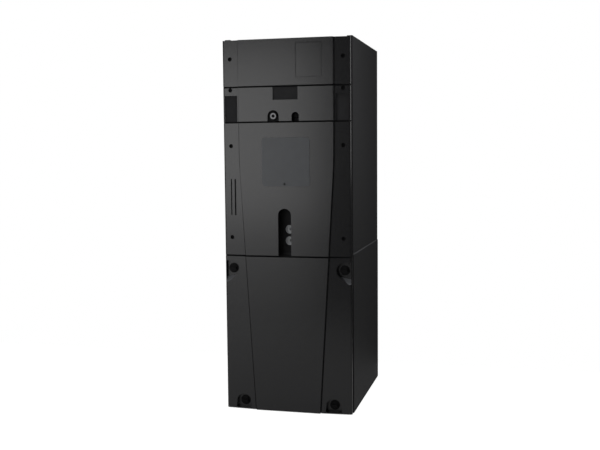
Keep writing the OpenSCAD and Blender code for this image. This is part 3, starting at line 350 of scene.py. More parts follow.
# The finish of each record slot, where it has another name
SLOT_FINISH = {
    "cabinet_paint": "wall_paint",
    "cover_paint": "panel_paint",
    "plate": "badge_plastic",
    "galvanized": "zinc",
    "black_screw": "black_steel",
    "seal_rubber": "foam",
    "knob_plastic": "black_plastic",
    "filter_card": "paperboard",
    "filter_fabric": "filter_cloth",
    "moulded_plastic": "housing_plastic",
    "motor_paint": "motor_enamel",
    "board": "board_mask",
    "transformer_shell": "lamination",
    "breaker_shell": "black_plastic",
    "toggle_plastic": "pale_plastic",
}
SLOT_OF = {part["node"]: part["material_slot"] for part in frame["record"]["subparts"]}


# Making pieces


def dress(piece, body, replaces=()):
    """Puts a finished piece on its body, where the nodes it replaces were, and hides those nodes."""
    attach(piece, body)
    if replaces:
        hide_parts(*replaces)


def new_object(name, data):
    thing = bpy.data.objects.new(name, data)
    bpy.context.scene.collection.objects.link(thing)
    return thing


SHADED_SHARP = math.radians(35)
SHARP = math.radians(40)
FLAT = math.radians(1.5)
WELD = 0.005 * MM


def smooth_by_angle(mesh):
    mesh.shade_smooth()
    mesh.set_sharp_from_angle(angle=SHADED_SHARP)


class Build:
    """A mesh put together from simple solids, each with its own finish."""

    def __init__(self, place=None):
        self.shape = bmesh.new()
        self.finishes = []
        self.place = place or Matrix.Identity(4)

    def mark(self, faces, finish):
        if finish not in self.finishes:
            self.finishes.append(finish)
        for face in faces:
            face.material_index = self.finishes.index(finish)

    def ease(self, faces, edge, segments=2):
        """Rounds the sharp edges of these faces."""
        edges = {e for f in faces for e in f.edges if len(e.link_faces) == 2 and e.calc_face_angle(0) > SHARP}
        if edge and edges:
            bmesh.ops.bevel(
                self.shape,
                geom=list(edges),
                offset=edge,
                segments=segments,
                affect="EDGES",
                profile=0.5,
                clamp_overlap=True,
            )

    def prism(self, outline, start, end, finish, axis, edge=0.0):
        """Extrudes an outline from start to end along an axis. Outlines hold X Z, Y Z or X Y pairs."""
        order = {"X": (2, 0, 1), "Y": (0, 2, 1), "Z": (0, 1, 2)}[axis]
        ends = [[[(a, b, c)[k] for k in order] for a, b in outline] for c in (start, end)]
        rings = [[self.shape.verts.new(point) for point in points] for points in ends]
        count = len(outline)
        faces = [self.shape.faces.new(rings[0]), self.shape.faces.new(list(reversed(rings[1])))]
        for i in range(count):
            j = (i + 1) % count
            faces.append(self.shape.faces.new((rings[0][j], rings[0][i], rings[1][i], rings[1][j])))
        bmesh.ops.recalc_face_normals(self.shape, faces=faces)
        self.mark(faces, finish)
        self.ease(faces, edge)

    def block(self, low, high, finish, edge=0.0):
        (x0, y0, z0), (x1, y1, z1) = low, high
        self.prism([(x0, y0), (x1, y0), (x1, y1), (x0, y1)], z0, z1, finish, "Z", edge)

    def turned(self, profile, centre, finish, axis="Y", steps=40):
        """Spins a profile of (radius, distance along the axis) pairs about the axis through centre."""
        turn = {"X": Matrix.Rotation(math.pi / 2, 4, "Y"), "Y": Matrix.Rotation(-math.pi / 2, 4, "X")}
        spot = Matrix.Translation(centre) @ turn.get(axis, Matrix.Identity(4))
        rings = []
        for radius, along in profile:
            count = steps if radius > 1e-6 else 1
            angles = [2 * math.pi * i / steps for i in range(count)]
            points = [spot @ Vector((radius * math.cos(a), radius * math.sin(a), along)) for a in angles]
            rings.append([self.shape.verts.new(p) for p in points])
        faces = []
        for first, second in zip(rings, rings[1:]):
            for i in range(steps):
                j = (i + 1) % steps
                around = ((first, i), (first, j), (second, j), (second, i))
                corners = list(dict.fromkeys(ring[k % len(ring)] for ring, k in around))
                if len(corners) > 2:
                    faces.append(self.shape.faces.new(corners))
        bmesh.ops.recalc_face_normals(self.shape, faces=faces)
        self.mark(faces, finish)

    def solid(self, node, finish, edge=0.0, segments=2):
        """Adds a node's solid, with its triangles joined to faces and its edges rounded."""
        part = bmesh.new()
        part.from_mesh(NODES[node].data)
        bmesh.ops.remove_doubles(part, verts=part.verts, dist=WELD)
        bmesh.ops.dissolve_limit(part, angle_limit=FLAT, verts=part.verts, edges=part.edges)
        mesh = bpy.data.meshes.new("part")
        part.to_mesh(mesh)
        part.free()
        before = set(self.shape.faces)
        self.shape.from_mesh(mesh)
        bpy.data.meshes.remove(mesh)
        faces = [face for face in self.shape.faces if face not in before]
        self.mark(faces, finish)
        self.ease(faces, edge, segments)

    def mesh(self, name):
        """The plain mesh at its place, without materials."""
        mesh = bpy.data.meshes.new(name)
        self.shape.transform(self.place)
        self.shape.to_mesh(mesh)
        self.shape.free()
        return mesh

    def piece(self, name, body, replaces=()):
        """The finished piece. Its flat faces keep their own normals beside the rounded edges."""
        mesh = self.mesh(name)
        for finish in self.finishes:
            mesh.materials.append(FINISHES[finish])
        smooth_by_angle(mesh)
        piece = new_object(name, mesh)
        weigh = piece.modifiers.new("Flat faces", "WEIGHTED_NORMAL")
        weigh.keep_sharp = True
        weigh.weight = 100
        dress(piece, body, replaces)

    def finish(self, node):
        """The finished piece in place of its node."""
        self.piece(node + "_finished", BODY_OF[node], replaces=[node])


def circle(centre, radius, steps):
    turns = [2 * math.pi * i / steps for i in range(steps)]
    return [(centre[0] + radius * math.cos(a), centre[1] + radius * math.sin(a)) for a in turns]


def rounded(node, finish, edge, segments=2):
    """A piece that is a node's solid with its edges rounded."""
    build = Build()
    build.solid(node, finish, edge, segments)
    build.finish(node)


SOCKETS = {float: "NodeSocketFloat", int: "NodeSocketInt", tuple: "NodeSocketVector"}


class Growth:
    """A Geometry Nodes tree under construction, and the piece that it grows."""

    def __init__(self, name, **inputs):
        self.name = name
        self.tree = bpy.data.node_groups.new(name, "GeometryNodeTree")
        self.tree.is_modifier = True
        sockets = self.tree.interface
        sockets.new_socket("Geometry", in_out="INPUT", socket_type="NodeSocketGeometry")
        self.values = {}
        for key, value in inputs.items():
            kind = SOCKETS.get(type(value), "NodeSocketObject")
            self.values[sockets.new_socket(key, in_out="INPUT", socket_type=kind).identifier] = value
        sockets.new_socket("Geometry", in_out="OUTPUT", socket_type="NodeSocketGeometry")
        self.inputs = self.tree.nodes.new("NodeGroupInput").outputs

    def add(self, kind, links=None, **settings):
        return add_node(self.tree, kind, links, **settings).outputs[0]

    def math(self, operation, first, second=0.0):
        return self.add("ShaderNodeMath", {0: first, 1: second}, operation=operation)

    def copies(self, points, instance):
        return self.add("GeometryNodeInstanceOnPoints", {"Points": points, "Instance": instance})

    def tube(self, curve, sides, radius, caps=False):
        """A tube along a curve, with so many sides."""
        section = self.add("GeometryNodeCurvePrimitiveCircle", {"Resolution": sides, "Radius": radius})
        links = {"Curve": curve, "Profile Curve": section, "Fill Caps": caps}
        return self.add("GeometryNodeCurveToMesh", links)

    def model(self, socket):
        """The geometry of the object that an input names."""
        return self.add("GeometryNodeObjectInfo", {"Object": self.inputs[socket]}).node.outputs["Geometry"]

    def mesh(self, geometry, finish, points=()):
        """Grows the tree on some points and returns the result as a plain mesh."""
        solid = self.add("GeometryNodeRealizeInstances", {"Geometry": geometry})
        painted = self.add("GeometryNodeSetMaterial", {"Geometry": solid, "Material": FINISHES[finish]})
        end = self.tree.nodes.new("NodeGroupOutput")
        self.tree.links.new(painted, end.inputs[0])
        seed = bpy.data.meshes.new(self.name)
        seed.from_pydata(points, [], [])
        piece = new_object(self.name, seed)
        modifier = piece.modifiers.new(self.name, "NODES")
        modifier.node_group = self.tree
        for identifier, value in self.values.items():
            modifier[identifier] = value
        graph = bpy.context.evaluated_depsgraph_get()
        mesh = bpy.data.meshes.new_from_object(piece.evaluated_get(graph))
        piece.modifiers.clear()
        bpy.data.objects.remove(piece)
        bpy.data.meshes.remove(seed)
        mesh.name = self.name
        return mesh

    def piece(self, geometry, finish, body, points=(), place=None, replaces=()):
        mesh = self.mesh(geometry, finish, points)
        if place:
            mesh.transform(place)
        smooth_by_angle(mesh)
        dress(new_object(self.name, mesh), body, replaces)


class HANDLER_OT_finishes(bpy.types.Operator):
    """Makes the materials and puts one on every solid"""

    bl_idname = "handler.finishes"
    bl_label = "Finishes"

    def execute(self, context):
        make_finishes(context.scene.handler_paint)
        for node, piece in NODES.items():
            piece.data.materials.clear()
            piece.data.materials.append(FINISHES[SLOT_FINISH.get(SLOT_OF[node], SLOT_OF[node])])
        return {"FINISHED"}


class HANDLER_OT_walls(bpy.types.Operator):
    """Rounds the folded edges of the cabinet's walls"""

    bl_idname = "handler.walls"
    bl_label = "Cabinet walls"

    def execute(self, context):
        edges = context.scene.handler_edges
        for side in ("left", "right"):
            make_lower_wall("lower_%s_wall" % side, edges.wall)
        for side in ("left", "right"):
            rounded("upper_%s_wall" % side, "wall_paint", edges.wall)
        for node in ("lower_back_wall", "upper_back_wall", "top_frame", "base_frame", "blower_deck"):
            rounded(node, "wall_paint", edges.wall * 0.5)
        rounded("cross_rails", "wall_paint", edges.small * 0.5)
        for node in ("duct_flange", "blower_rails", "latch_clips"):
            rounded(node, "zinc", edges.small * 0.5)
        rounded("filter_rails", "black_plastic", edges.small)
        return {"FINISHED"}


# The shoulder's faces, which get a painted highlight, by how far they look up and how far they lie below the
# wall's top
SHOULDER_SLOPE = (0.2, 0.98)
SHOULDER_REACH = 30 * MM


def make_lower_wall(node, edge):
    """A wall of the lower section, with a painted highlight in paler paint on the shoulder that the upper
    section stands on.
    """
    build = Build()
    build.solid(node, "wall_paint", edge)
    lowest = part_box(node)[1].z - SHOULDER_REACH
    steepest, flattest = SHOULDER_SLOPE
    for face in build.shape.faces:
        face.normal_update()
        # Shoulder faces that look up get paler paint: a painted highlight
        if steepest < face.normal.z < flattest and face.calc_center_median().z > lowest:
            build.mark([face], "shoulder_highlight")
    build.finish(node)


GROOVE = 4 * MM
GROOVE_ZONE = (0.1, 0.176)
SEAM = 6.1 * MM


def in_groove(face):
    """Whether a face is one of the tall narrow strips beside a panel's centre field."""
    heights = [v.co.z for v in face.verts]
    tall = max(heights) - min(heights)
    nearest, farthest = GROOVE_ZONE
    beside = nearest < abs(face.calc_center_median().x) < farthest
    return beside and tall > GROOVE and face.calc_area() < GROOVE * tall


# The upper latch pockets lie beyond POCKET_X, above POCKET_DROP below the door's top
POCKET_X = 0.17
POCKET_DROP = 0.14
POCKET_DEPTH = 5 * MM
RAMP_SLOPE = 0.3


def make_door(edge):
    """The blower door, with a painted highlight in pale paint on the ramps below the pockets of its upper
    latches, and painted shade on its top edge and in the grooves beside its centre field.
    """
    build = Build()
    build.solid("blower_door", "door_paint", edge)
    low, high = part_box("blower_door")
    for face in build.shape.faces:
        face.normal_update()
        spot = face.calc_center_median()
        inside = spot.y > low.y + POCKET_DEPTH and abs(spot.x) > POCKET_X and spot.z > high.z - POCKET_DROP
        # Ramp faces that look up and forward in the upper pockets get pale paint: a painted highlight
        if inside and face.normal.z > RAMP_SLOPE and face.normal.y < -RAMP_SLOPE:
            build.mark([face], "ramp_highlight")
        # The door's top edge is painted dark: painted shade in the seam above it
        elif spot.z > high.z - MM:
            build.mark([face], "foam")
        # The grooves beside the centre field are painted dark: painted shade
        elif in_groove(face):
            build.mark([face], "recess_shade")
    build.finish("blower_door")


class HANDLER_OT_panels(bpy.types.Operator):
    """Rounds the front panels, the blower door and what is screwed to them"""

    bl_idname = "handler.panels"
    bl_label = "Front panels"

    def execute(self, context):
        edges = context.scene.handler_edges
        for node in ("heater_panel", "line_set_panel", "coil_panel"):
            make_screwed_panel(node, edges.panel)
        make_door(edges.panel)
        rounded("breaker_cover", "panel_paint", edges.small)
        rounded("badge_plate", "badge_plastic", edges.panel, segments=3)
        rounded("panel_screws", "black_steel", edges.small)
        rounded("badge_screw", "black_steel", edges.small)
        return {"FINISHED"}


SCREW_HEAD = 5 * MM
# Faces within SCREW_RECESS of a screw and deeper than SCREW_RECESS_DEPTH get painted shade
SCREW_RECESS = 7.2 * MM
SCREW_RECESS_DEPTH = 10 * MM
# Flat recess floors that get painted shade: their depth behind the front, least area and how squarely they
# face the front
SHADE_DEPTH = (3.5 * MM, 16 * MM)
SHADE_AREA = 500 * MM * MM
SHADE_FACING = 0.9999


def screw_places():
    """The middle of each panel screw, as X and Z, from the solids."""
    screws = [v.co for v in NODES["panel_screws"].data.vertices]
    across = (max(p.x for p in screws) - SCREW_HEAD, min(p.x for p in screws) + SCREW_HEAD)
    rows = starts([p.z for p in screws], 3 * SCREW_HEAD)
    return [(x, z + SCREW_HEAD) for x in across for z in rows]


def make_screwed_panel(node, edge):
    """An upper panel, with painted shade in the recesses round its screws, on the faces at its seams, on the
    line-set panel's flat recesses and in the coil panel's grooves.
    """
    build = Build()
    build.solid(node, "panel_paint", edge)
    low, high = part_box(node)
    shallow, deepest = SHADE_DEPTH
    holes = screw_places()
    for face in build.shape.faces:
        face.normal_update()
        spot = face.calc_center_median()
        deep = spot.y - low.y
        flat = face.normal.y < -SHADE_FACING and shallow < deep < deepest and face.calc_area() > SHADE_AREA
        near = any(abs(spot.x - x) < SCREW_RECESS and abs(spot.z - z) < SCREW_RECESS for x, z in holes)
        seam = spot.z < low.z + SEAM or (spot.z > high.z - MM and node != "heater_panel")
        # Seam faces and the deep faces round the screws are painted dark: painted shade
        if seam or (near and deep > SCREW_RECESS_DEPTH):
            build.mark([face], "foam")
        # The line-set panel's flat recess floors and the coil panel's grooves are painted dark: painted shade
        elif (flat and node == "line_set_panel") or (node == "coil_panel" and in_groove(face)):
            build.mark([face], "recess_shade")
    build.finish(node)


POCKET_BORE = 8 * MM
KNOB_FLANGE_AND_SHADOW = in_mm((6, -1.4), (16, -1.4), (17, -0.6), (17, -0.2))


def make_knob(node, edge):
    """A latch knob with a thin black flange that lies on the floor of its pocket; the flange is partly
    painted shadow, widening the dark patch round the knob.
    """
    build = Build()
    build.solid(node, "knob_plastic", edge, segments=3)
    low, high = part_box(node)
    x, z = (low.x + high.x) / 2, (low.z + high.z) / 2
    door = [v.co for v in NODES["blower_door"].data.vertices]
    floor = min(p.y for p in door if math.hypot(p.x - x, p.z - z) < POCKET_BORE)
    # The flange is partly painted shadow: it darkens the pocket floor round the knob
    build.turned(KNOB_FLANGE_AND_SHADOW, (x, floor, z), "knob_plastic")
    build.finish(node)


class HANDLER_OT_latches(bpy.types.Operator):
    """Rounds the four latch knobs"""

    bl_idname = "handler.latches"
    bl_label = "Latch knobs"

    def execute(self, context):
        for place in ("upper_left", "upper_right", "lower_left", "lower_right"):
            make_knob("knob_" + place, context.scene.handler_edges.small * 2)
        return {"FINISHED"}


LIP = 1.4 * MM
FOOT_DROP = 4.5 * MM
FOOT_DEPTH = 4 * MM
CHAMFER = 0.6 * MM
OVERLAP = 0.5 * MM
GROMMET_EDGE = 0.8 * MM


def line_port(name, line, cap_finish, cap_depth, bore, rim):
    """A grommet with a moulded lip over its line's rim, and a cap with a hole on the line's end."""
    low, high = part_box(name)
    centre_x = (low.x + high.x) / 2
    line_z = high.z - (high.x - low.x) / 2
    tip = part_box(line)[0].y
    front = min(low.y, tip)
    radius = line_radius(line)
    build = Build()
    build.solid(name, "rubber", GROMMET_EDGE)
    lip = [(rim, -0.2 * MM), (rim, -0.6 * LIP), (radius, -1.3 * LIP), (radius + 1.8 * LIP, low.y - front)]
    build.turned(lip, (centre_x, front, line_z), "rubber")
    foot = (low.x, high.y - FOOT_DEPTH, low.z - FOOT_DROP)
    build.block(foot, (high.x, high.y - OVERLAP, low.z + OVERLAP), "rubber")
    build.piece(name + "_moulded", "cabinet", replaces=[name])
    cap = Build()
    spot = (centre_x, tip - OVERLAP, line_z)
    collar = [(bore, CHAMFER), (bore + CHAMFER, 0), (rim - OVERLAP, 0), (rim, OVERLAP), (rim, cap_depth)]
    cap.turned(collar, spot, cap_finish)
    cap.turned([(0, cap_depth), (bore, cap_depth), (bore, CHAMFER)], spot, "rubber")
    cap.piece(line + "_cap", "cabinet")


def line_radius(line):
    """The outer radius of a line, from how far it reaches across at its front end."""
    points = [v.co for v in NODES[line].data.vertices]
    tip = min(p.y for p in points)
    across = [p.x for p in points if p.y < tip + MM]
    return (max(across) - min(across)) / 2


class HANDLER_OT_ports(bpy.types.Operator):
    """Makes the grommets and caps of the refrigerant lines, and the bushings of the drain ports"""

    bl_idname = "handler.ports"
    bl_label = "Ports"

    def execute(self, context):
        line_port("suction_grommet", "suction_line", "cap_plastic", 7 * MM, 5.4 * MM, 10.4 * MM)
        line_port("liquid_grommet", "liquid_line", "rubber", 3 * MM, 1.5 * MM, 4.6 * MM)
        make_drain_bushings()
        make_drain_threads()
        return {"FINISHED"}


DRAIN_BORE = 11.9 * MM
THREAD_PITCH = 1.8 * MM
THREAD_TURNS = 4.0
THREAD_RIDGE = 0.45 * MM
BUSHING = in_mm((5, 14), (5, 10), (11.9, 10), (11.9, 0.8), (12.7, 0), (14.3, 0), (14.9, 0.6), (14.9, 5))


def drain_places(inward):
    """A spot on each drain port's axis, inward from the tips of the ports."""
    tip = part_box("drain_pan")[0].y
    places = [m["pos_m"] for m in frame["record"]["mounts"] if m["name"].endswith("_drain")]
    return [(place[0], tip - inward, place[2]) for place in places]


def make_drain_bushings():
    """Pale bushings on the drain ports, with an inner shoulder; their plastic is made lighter still as a
    painted highlight.
    """
    build = Build()
    for spot in drain_places(4 * MM):
        # Very pale bushings: their own pale plastic plus a painted highlight
        build.turned(BUSHING, spot, "fitting_plastic_and_highlight")
    build.piece("drain_bushings", "cabinet")


def make_drain_threads():
    """The thread in each bushing, grown as a spiral."""
    length = THREAD_TURNS * THREAD_PITCH
    sizes = {"Turns": THREAD_TURNS, "Radius": DRAIN_BORE, "Length": length, "Ridge": THREAD_RIDGE}
    growth = Growth("drain_threads", **sizes)
    links = {
        "Resolution": 24,
        "Rotations": growth.inputs["Turns"],
        "Start Radius": growth.inputs["Radius"],
        "End Radius": growth.inputs["Radius"],
        "Height": growth.inputs["Length"],
    }
    thread = growth.tube(growth.add("GeometryNodeCurveSpiral", links), 4, growth.inputs["Ridge"], caps=True)
    turned = growth.add("GeometryNodeTransform", {"Geometry": thread, "Rotation": (-math.pi / 2, 0, 0)})
    threads = growth.copies(growth.inputs["Geometry"], turned)
    growth.piece(threads, "fitting_plastic_and_highlight", "cabinet", drain_places(3 * MM))


WIRE_SPACING = 22 * MM
WIRE_RADIUS = 0.5 * MM


def make_filter_wires(low, high, rim):
    """The wire mesh that backs the pleats on both sides, grown from a grid."""
    size = (high.x - low.x - 2 * rim, high.y - low.y - 2 * rim)
    growth = Growth("filter_wires", Spacing=WIRE_SPACING, Wire=WIRE_RADIUS)
    counts = [growth.math("ROUND", growth.math("DIVIDE", s, growth.inputs["Spacing"])) for s in size]
    links = {"Size X": size[0], "Size Y": size[1], "Vertices X": counts[0], "Vertices Y": counts[1]}
    curves = growth.add("GeometryNodeMeshToCurve", {"Mesh": growth.add("GeometryNodeMeshGrid", links)})
    wires = growth.copies(growth.inputs["Geometry"], growth.tube(curves, 5, growth.inputs["Wire"]))
    middle = (low + high) / 2
    points = [(middle.x, middle.y, z) for z in (low.z + 2 * WIRE_RADIUS, high.z - 2 * WIRE_RADIUS)]
    growth.piece(wires, "bright_steel", "filter", points)


class HANDLER_OT_filter(bpy.types.Operator):
    """Finishes the air filter"""

    bl_idname = "handler.filter"
    bl_label = "Air filter"

    def execute(self, context):
        low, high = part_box("filter_frame")
        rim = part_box("filter_media")[0].x - low.x
        rounded("filter_frame", "paperboard", context.scene.handler_edges.small)
        make_filter_wires(low, high, rim)
        return {"FINISHED"}


FIN_PITCH = 2.2 * MM
FIN_THICKNESS = 0.3 * MM
SHEET = 1.5 * MM


def slab_place(node):
    """The coil slab's corner frame, from its solid: X across the slab, Y back, Z up its length."""
    points = [v.co for v in NODES[node].data.vertices]
    low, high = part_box(node)
    side = 1 if high.x > -low.x else -1
    foot = min(points, key=lambda p: p.z * 10 + side * p.x)
    heel = max(points, key=lambda p: side * p.x)
    head = max(points, key=lambda p: p.z)
    across = Vector((heel.x - foot.x, 0, heel.z - foot.z))
    up = Vector((-across.z, 0, across.x)).normalized() * side
    corner = Vector((foot.x, low.y, foot.z))
    length = (head - heel).dot(up)
    turn = Matrix((across.normalized(), Vector((0, 1, 0)), up)).transposed().to_4x4()
    return Matrix.Translation(corner) @ turn, across.length, length


def make_slab(node):
    """A coil slab as its fins and its two tube sheets."""
    place, thickness, length = slab_place(node)
    low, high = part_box(node)
    depth = high.y - low.y
    size = (thickness, FIN_THICKNESS, length)
    growth = Growth(node + "_fins", Pitch=FIN_PITCH, Depth=depth, Size=size)
    count = growth.math("FLOOR", growth.math("DIVIDE", growth.inputs["Depth"], growth.inputs["Pitch"]))
    step = growth.add("ShaderNodeCombineXYZ", {"Y": growth.inputs["Pitch"]})
    links = {"Count": count, "Offset": step, "Start Location": (0, FIN_PITCH / 2, 0)}
    line = growth.add("GeometryNodeMeshLine", links)
    fin = growth.add("GeometryNodeMeshCube", {"Size": growth.inputs["Size"]})
    links = {"Geometry": fin, "Translation": (thickness / 2, 0, length / 2)}
    fins = growth.copies(line, growth.add("GeometryNodeTransform", links))
    growth.piece(fins, "fin_aluminium", "cabinet", place=place, replaces=[node])
    sheets = Build(place)
    for start in (0, depth - SHEET):
        sheets.block((0, start, 0), (thickness, start + SHEET, length), "zinc")
    sheets.piece(node + "_tube_sheets", "cabinet")


class HANDLER_OT_coil(bpy.types.Operator):
    """Makes the coil's fins and tube sheets and the expansion valve"""

    bl_idname = "handler.coil"
    bl_label = "Coil"

    def execute(self, context):
        make_slab("coil_left")
        make_slab("coil_right")
        rounded("coil_end_plates", "zinc", 0)
        rounded("drain_pan", "housing_plastic", context.scene.handler_edges.small)
        make_valve()
        return {"FINISHED"}


VALVE_CONE = in_mm((0, 0), (6, 0), (11, -16), (8, -18), (0, -18))
VALVE_HEAD = in_mm((0, 0), (8.8, 0.5), (9, -5), (7, -7), (5, -20), (0, -20))
VALVE_REACH = 11 * MM
NUT_RADIUS = 9.5 * MM
NUT_EDGE = 0.5 * MM
LOWER_NUT = (17 * MM, 28 * MM)
UPPER_NUT = 12 * MM
STEM_RADIUS = 7.5 * MM
HEAD_RISE = 8.5 * MM


def make_valve():
    """The expansion valve: a brass body with flare nuts and a steel power head."""
    low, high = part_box("expansion_valve")
    x, y = low.x + VALVE_REACH, (low.y + high.y) / 2
    start, end = (low.z + height for height in LOWER_NUT)
    nut = circle((x, y), NUT_RADIUS, 6)
    build = Build()
    build.turned(VALVE_CONE, (x, y, start + MM), "brass", "Z")
    build.prism(nut, start, end, "brass", "Z", NUT_EDGE)
    build.prism(circle((x, y), STEM_RADIUS, 24), end - MM, high.z - UPPER_NUT + 2 * MM, "brass", "Z")
    build.prism(nut, high.z - UPPER_NUT, high.z, "brass", "Z", NUT_EDGE)
    build.turned(VALVE_HEAD, (high.x, y, (low.z + high.z) / 2 + HEAD_RISE), "bright_steel", "X")
    build.piece("valve_turned", "cabinet", replaces=["expansion_valve"])


BRACKET_TURNS = (90, 210, 330)
BOLT_REACH = 115 * MM
BOLT_WASHER = in_mm((0, -1), (7, -1), (7, 0))
BOLT_HEAD = 4.5 * MM
BOLT_RADIUS = 5.6 * MM
BELL = 22 * MM
BELL_NOSE = in_mm((0, 1), (18, 1), (22, 3))
BELL_RIM = in_mm((16, 3), (9, 5), (6, 10))
MOTOR_HUB = 4 * MM
MOTOR_RIBS = 9
MOTOR_VENTS = 16
# A vent's two corners, from the topmost line of the shell
VENT_SLOT = in_mm((2.7, -1.6, -33), (3.6, 1.6, -21))


class HANDLER_OT_blower(bpy.types.Operator):
    """Finishes the blower housing, the motor and the bracket with its bolts"""

    bl_idname = "handler.blower"
    bl_label = "Blower"

    def execute(self, context):
        small = context.scene.handler_edges.small
        rounded("housing_left", "housing_plastic", small)
        rounded("housing_right", "housing_plastic", small)
        rounded("motor_bracket", "zinc", small * 0.5)
        make_motor()
        make_bracket_bolts()
        return {"FINISHED"}


def make_motor():
    """The motor: a ribbed shell and an end bell with vents, drawn as dark slots of painted shade where the
    openings are.
    """
    low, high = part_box("blower_motor")
    axis_y = (low.y + high.y) / 2
    axis_z = (low.z + high.z) / 2
    radius = (high.y - low.y) / 2
    start, hub, end = low.x, high.x - MOTOR_HUB, high.x
    bell = start + BELL
    profile = [(outward, start + along) for outward, along in BELL_NOSE]
    profile += [(radius - inward, start + along) for inward, along in BELL_RIM]
    profile += [(radius - 6 * MM, bell - 2 * MM), (radius - 0.5 * MM, bell), (radius, bell + MM)]
    pitch = (hub - bell - 16 * MM) / MOTOR_RIBS
    for i in range(MOTOR_RIBS):
        rib = bell + 8 * MM + i * pitch
        far = rib + pitch * 0.4
        profile += [(radius, rib), (radius - MM, rib + MM), (radius - MM, far), (radius, far + MM)]
    profile += [(radius, hub - 2 * MM), (radius - 2 * MM, hub), (16 * MM, hub)]
    profile += [(15 * MM, end), (7 * MM, end), (7 * MM, hub)]
    build = Build()
    build.turned(profile, (0, axis_y, axis_z), "motor_enamel", "X", 64)
    build.piece("motor_shell", "cabinet", replaces=["blower_motor"])
    # Each slot is a dark block on the end bell: painted shade where a vent opening is
    slot = Build()
    topmost = Vector((start, axis_y, axis_z + radius))
    slot.block(*(topmost + Vector(corner) for corner in VENT_SLOT), "rubber")
    make_motor_vents(slot.mesh("vent_slot"), (0, axis_y, axis_z))


def make_motor_vents(mesh, centre):
    """Vent slots in a ring round the motor's axis, each a turned copy of one slot. The slots are dark blocks:
    painted shade for the vent openings.
    """
    model = new_object("vent_slot", mesh)
    growth = Growth("motor_vents", Slot=model, Count=MOTOR_VENTS)
    count = growth.inputs["Count"]
    spots = growth.add("GeometryNodeMeshLine", {"Count": count, "Offset": (0, 0, 0)})
    copies = growth.copies(spots, growth.model("Slot"))
    share = growth.math("DIVIDE", growth.add("GeometryNodeInputIndex"), count)
    turn = growth.add("ShaderNodeCombineXYZ", {"X": growth.math("MULTIPLY", share, 2 * math.pi)})
    links = {"Instances": copies, "Rotation": turn, "Pivot Point": centre, "Local Space": False}
    growth.piece(growth.add("GeometryNodeRotateInstances", links), "rubber", "cabinet")
    bpy.data.objects.remove(model)


def make_bracket_bolts():
    """Hex bolts where the motor's arms meet the housing."""
    low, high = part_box("blower_motor")
    axis = (low + high) / 2
    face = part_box("housing_left")[0].x - 3 * MM
    bolt = Build()
    bolt.turned(BOLT_WASHER, (0, 0, 0), "bright_steel", "X", 24)
    bolt.prism(circle((0, 0), BOLT_RADIUS, 6), -BOLT_HEAD, -MM, "bright_steel", "X", NUT_EDGE)
    points = []
    for turn in BRACKET_TURNS:
        angle = math.radians(turn)
        points.append((face, axis.y + BOLT_REACH * math.cos(angle), axis.z + BOLT_REACH * math.sin(angle)))
    model = new_object("bolt", bolt.mesh("bolt"))
    growth = Growth("bracket_bolts", Bolt=model)
    bolts = growth.copies(growth.inputs["Geometry"], growth.model("Bolt"))
    growth.piece(bolts, "bright_steel", "cabinet", points)
    bpy.data.objects.remove(model)


class HANDLER_OT_heater(bpy.types.Operator):
    """Finishes the electric heater"""

    bl_idname = "handler.heater"
    bl_label = "Heater"

    def execute(self, context):
        rounded("heater_plate", "zinc", 0)
        rounded("heater_rack", "zinc", 0)
        make_bushings()
        return {"FINISHED"}


ROD_RADIUS = 4 * MM
ROD_PITCH = 20 * MM
ROD_BUSHING = in_mm((7, 3), (7, 0), (5, -5), (2.2, -5))
ROD_TERMINAL = in_mm((2, -4), (2, -11), (0, -11))


def make_bushings():
    """White ceramic bushings where the rods leave the heater plate, with a terminal on each."""
    low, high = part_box("heater_rods")
    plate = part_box("heater_plate")[0].y
    build = Build()
    for start in starts({round(v.co.x, 4) for v in NODES["heater_rods"].data.vertices}, ROD_PITCH):
        for z in (low.z + ROD_RADIUS, high.z - ROD_RADIUS):
            spot = (start + ROD_RADIUS, plate, z)
            build.turned(ROD_BUSHING, spot, "pale_plastic")
            build.turned(ROD_TERMINAL, spot, "bright_steel")
    build.piece("rod_bushings", "cabinet")


class HANDLER_OT_controls(bpy.types.Operator):
    """Makes the control board, the transformer and the breakers"""

    bl_idname = "handler.controls"
    bl_label = "Controls"

    def execute(self, context):
        small = context.scene.handler_edges.small
        rounded("control_box", "zinc", 0)
        make_board()
        make_transformer()
        for side in ("left", "right"):
            rounded("breaker_" + side, "black_plastic", small)
            rounded("toggle_" + side, "pale_plastic", small * 2, segments=3)
        return {"FINISHED"}


BOARD_THICKNESS = 1.6 * MM
BOARD_INSET = 11.6 * MM
STANDOFF = in_mm((2.6, 0), (2.6, 10))
BOARD_SCREW = in_mm((0, -2), (2.6, -1.4), (3, 0))
SOLDER_PIN = in_mm((0, -1.2), (1.2, -0.6), (1.6, 0))
TERMINAL_SCREW = in_mm((0, -1.2), (2.4, -1), (3, 0))
CAPACITOR = in_mm((0, -14), (4.4, -14), (5, -13), (5, 0))
BOARD_HOLE = 6 * MM
# Width, thickness and height of the blocks on the board; the strip's width comes from the board's
RELAY, STRIP, FUSE = in_mm((22, 16, 20), (0, 11, 12), (22, 6, 9))
RELAY_STARTS, PIN_STARTS, CAPACITOR_STARTS = in_mm((14, 42, 70), (4, 11, 18), (20, 36, 52))
RELAY_RISE = 10 * MM
PIN_RISE = 33 * MM
STRIP_INSET = 14 * MM
STRIP_DROP = 16 * MM
FUSE_INSET = 34 * MM
TERMINALS = 8


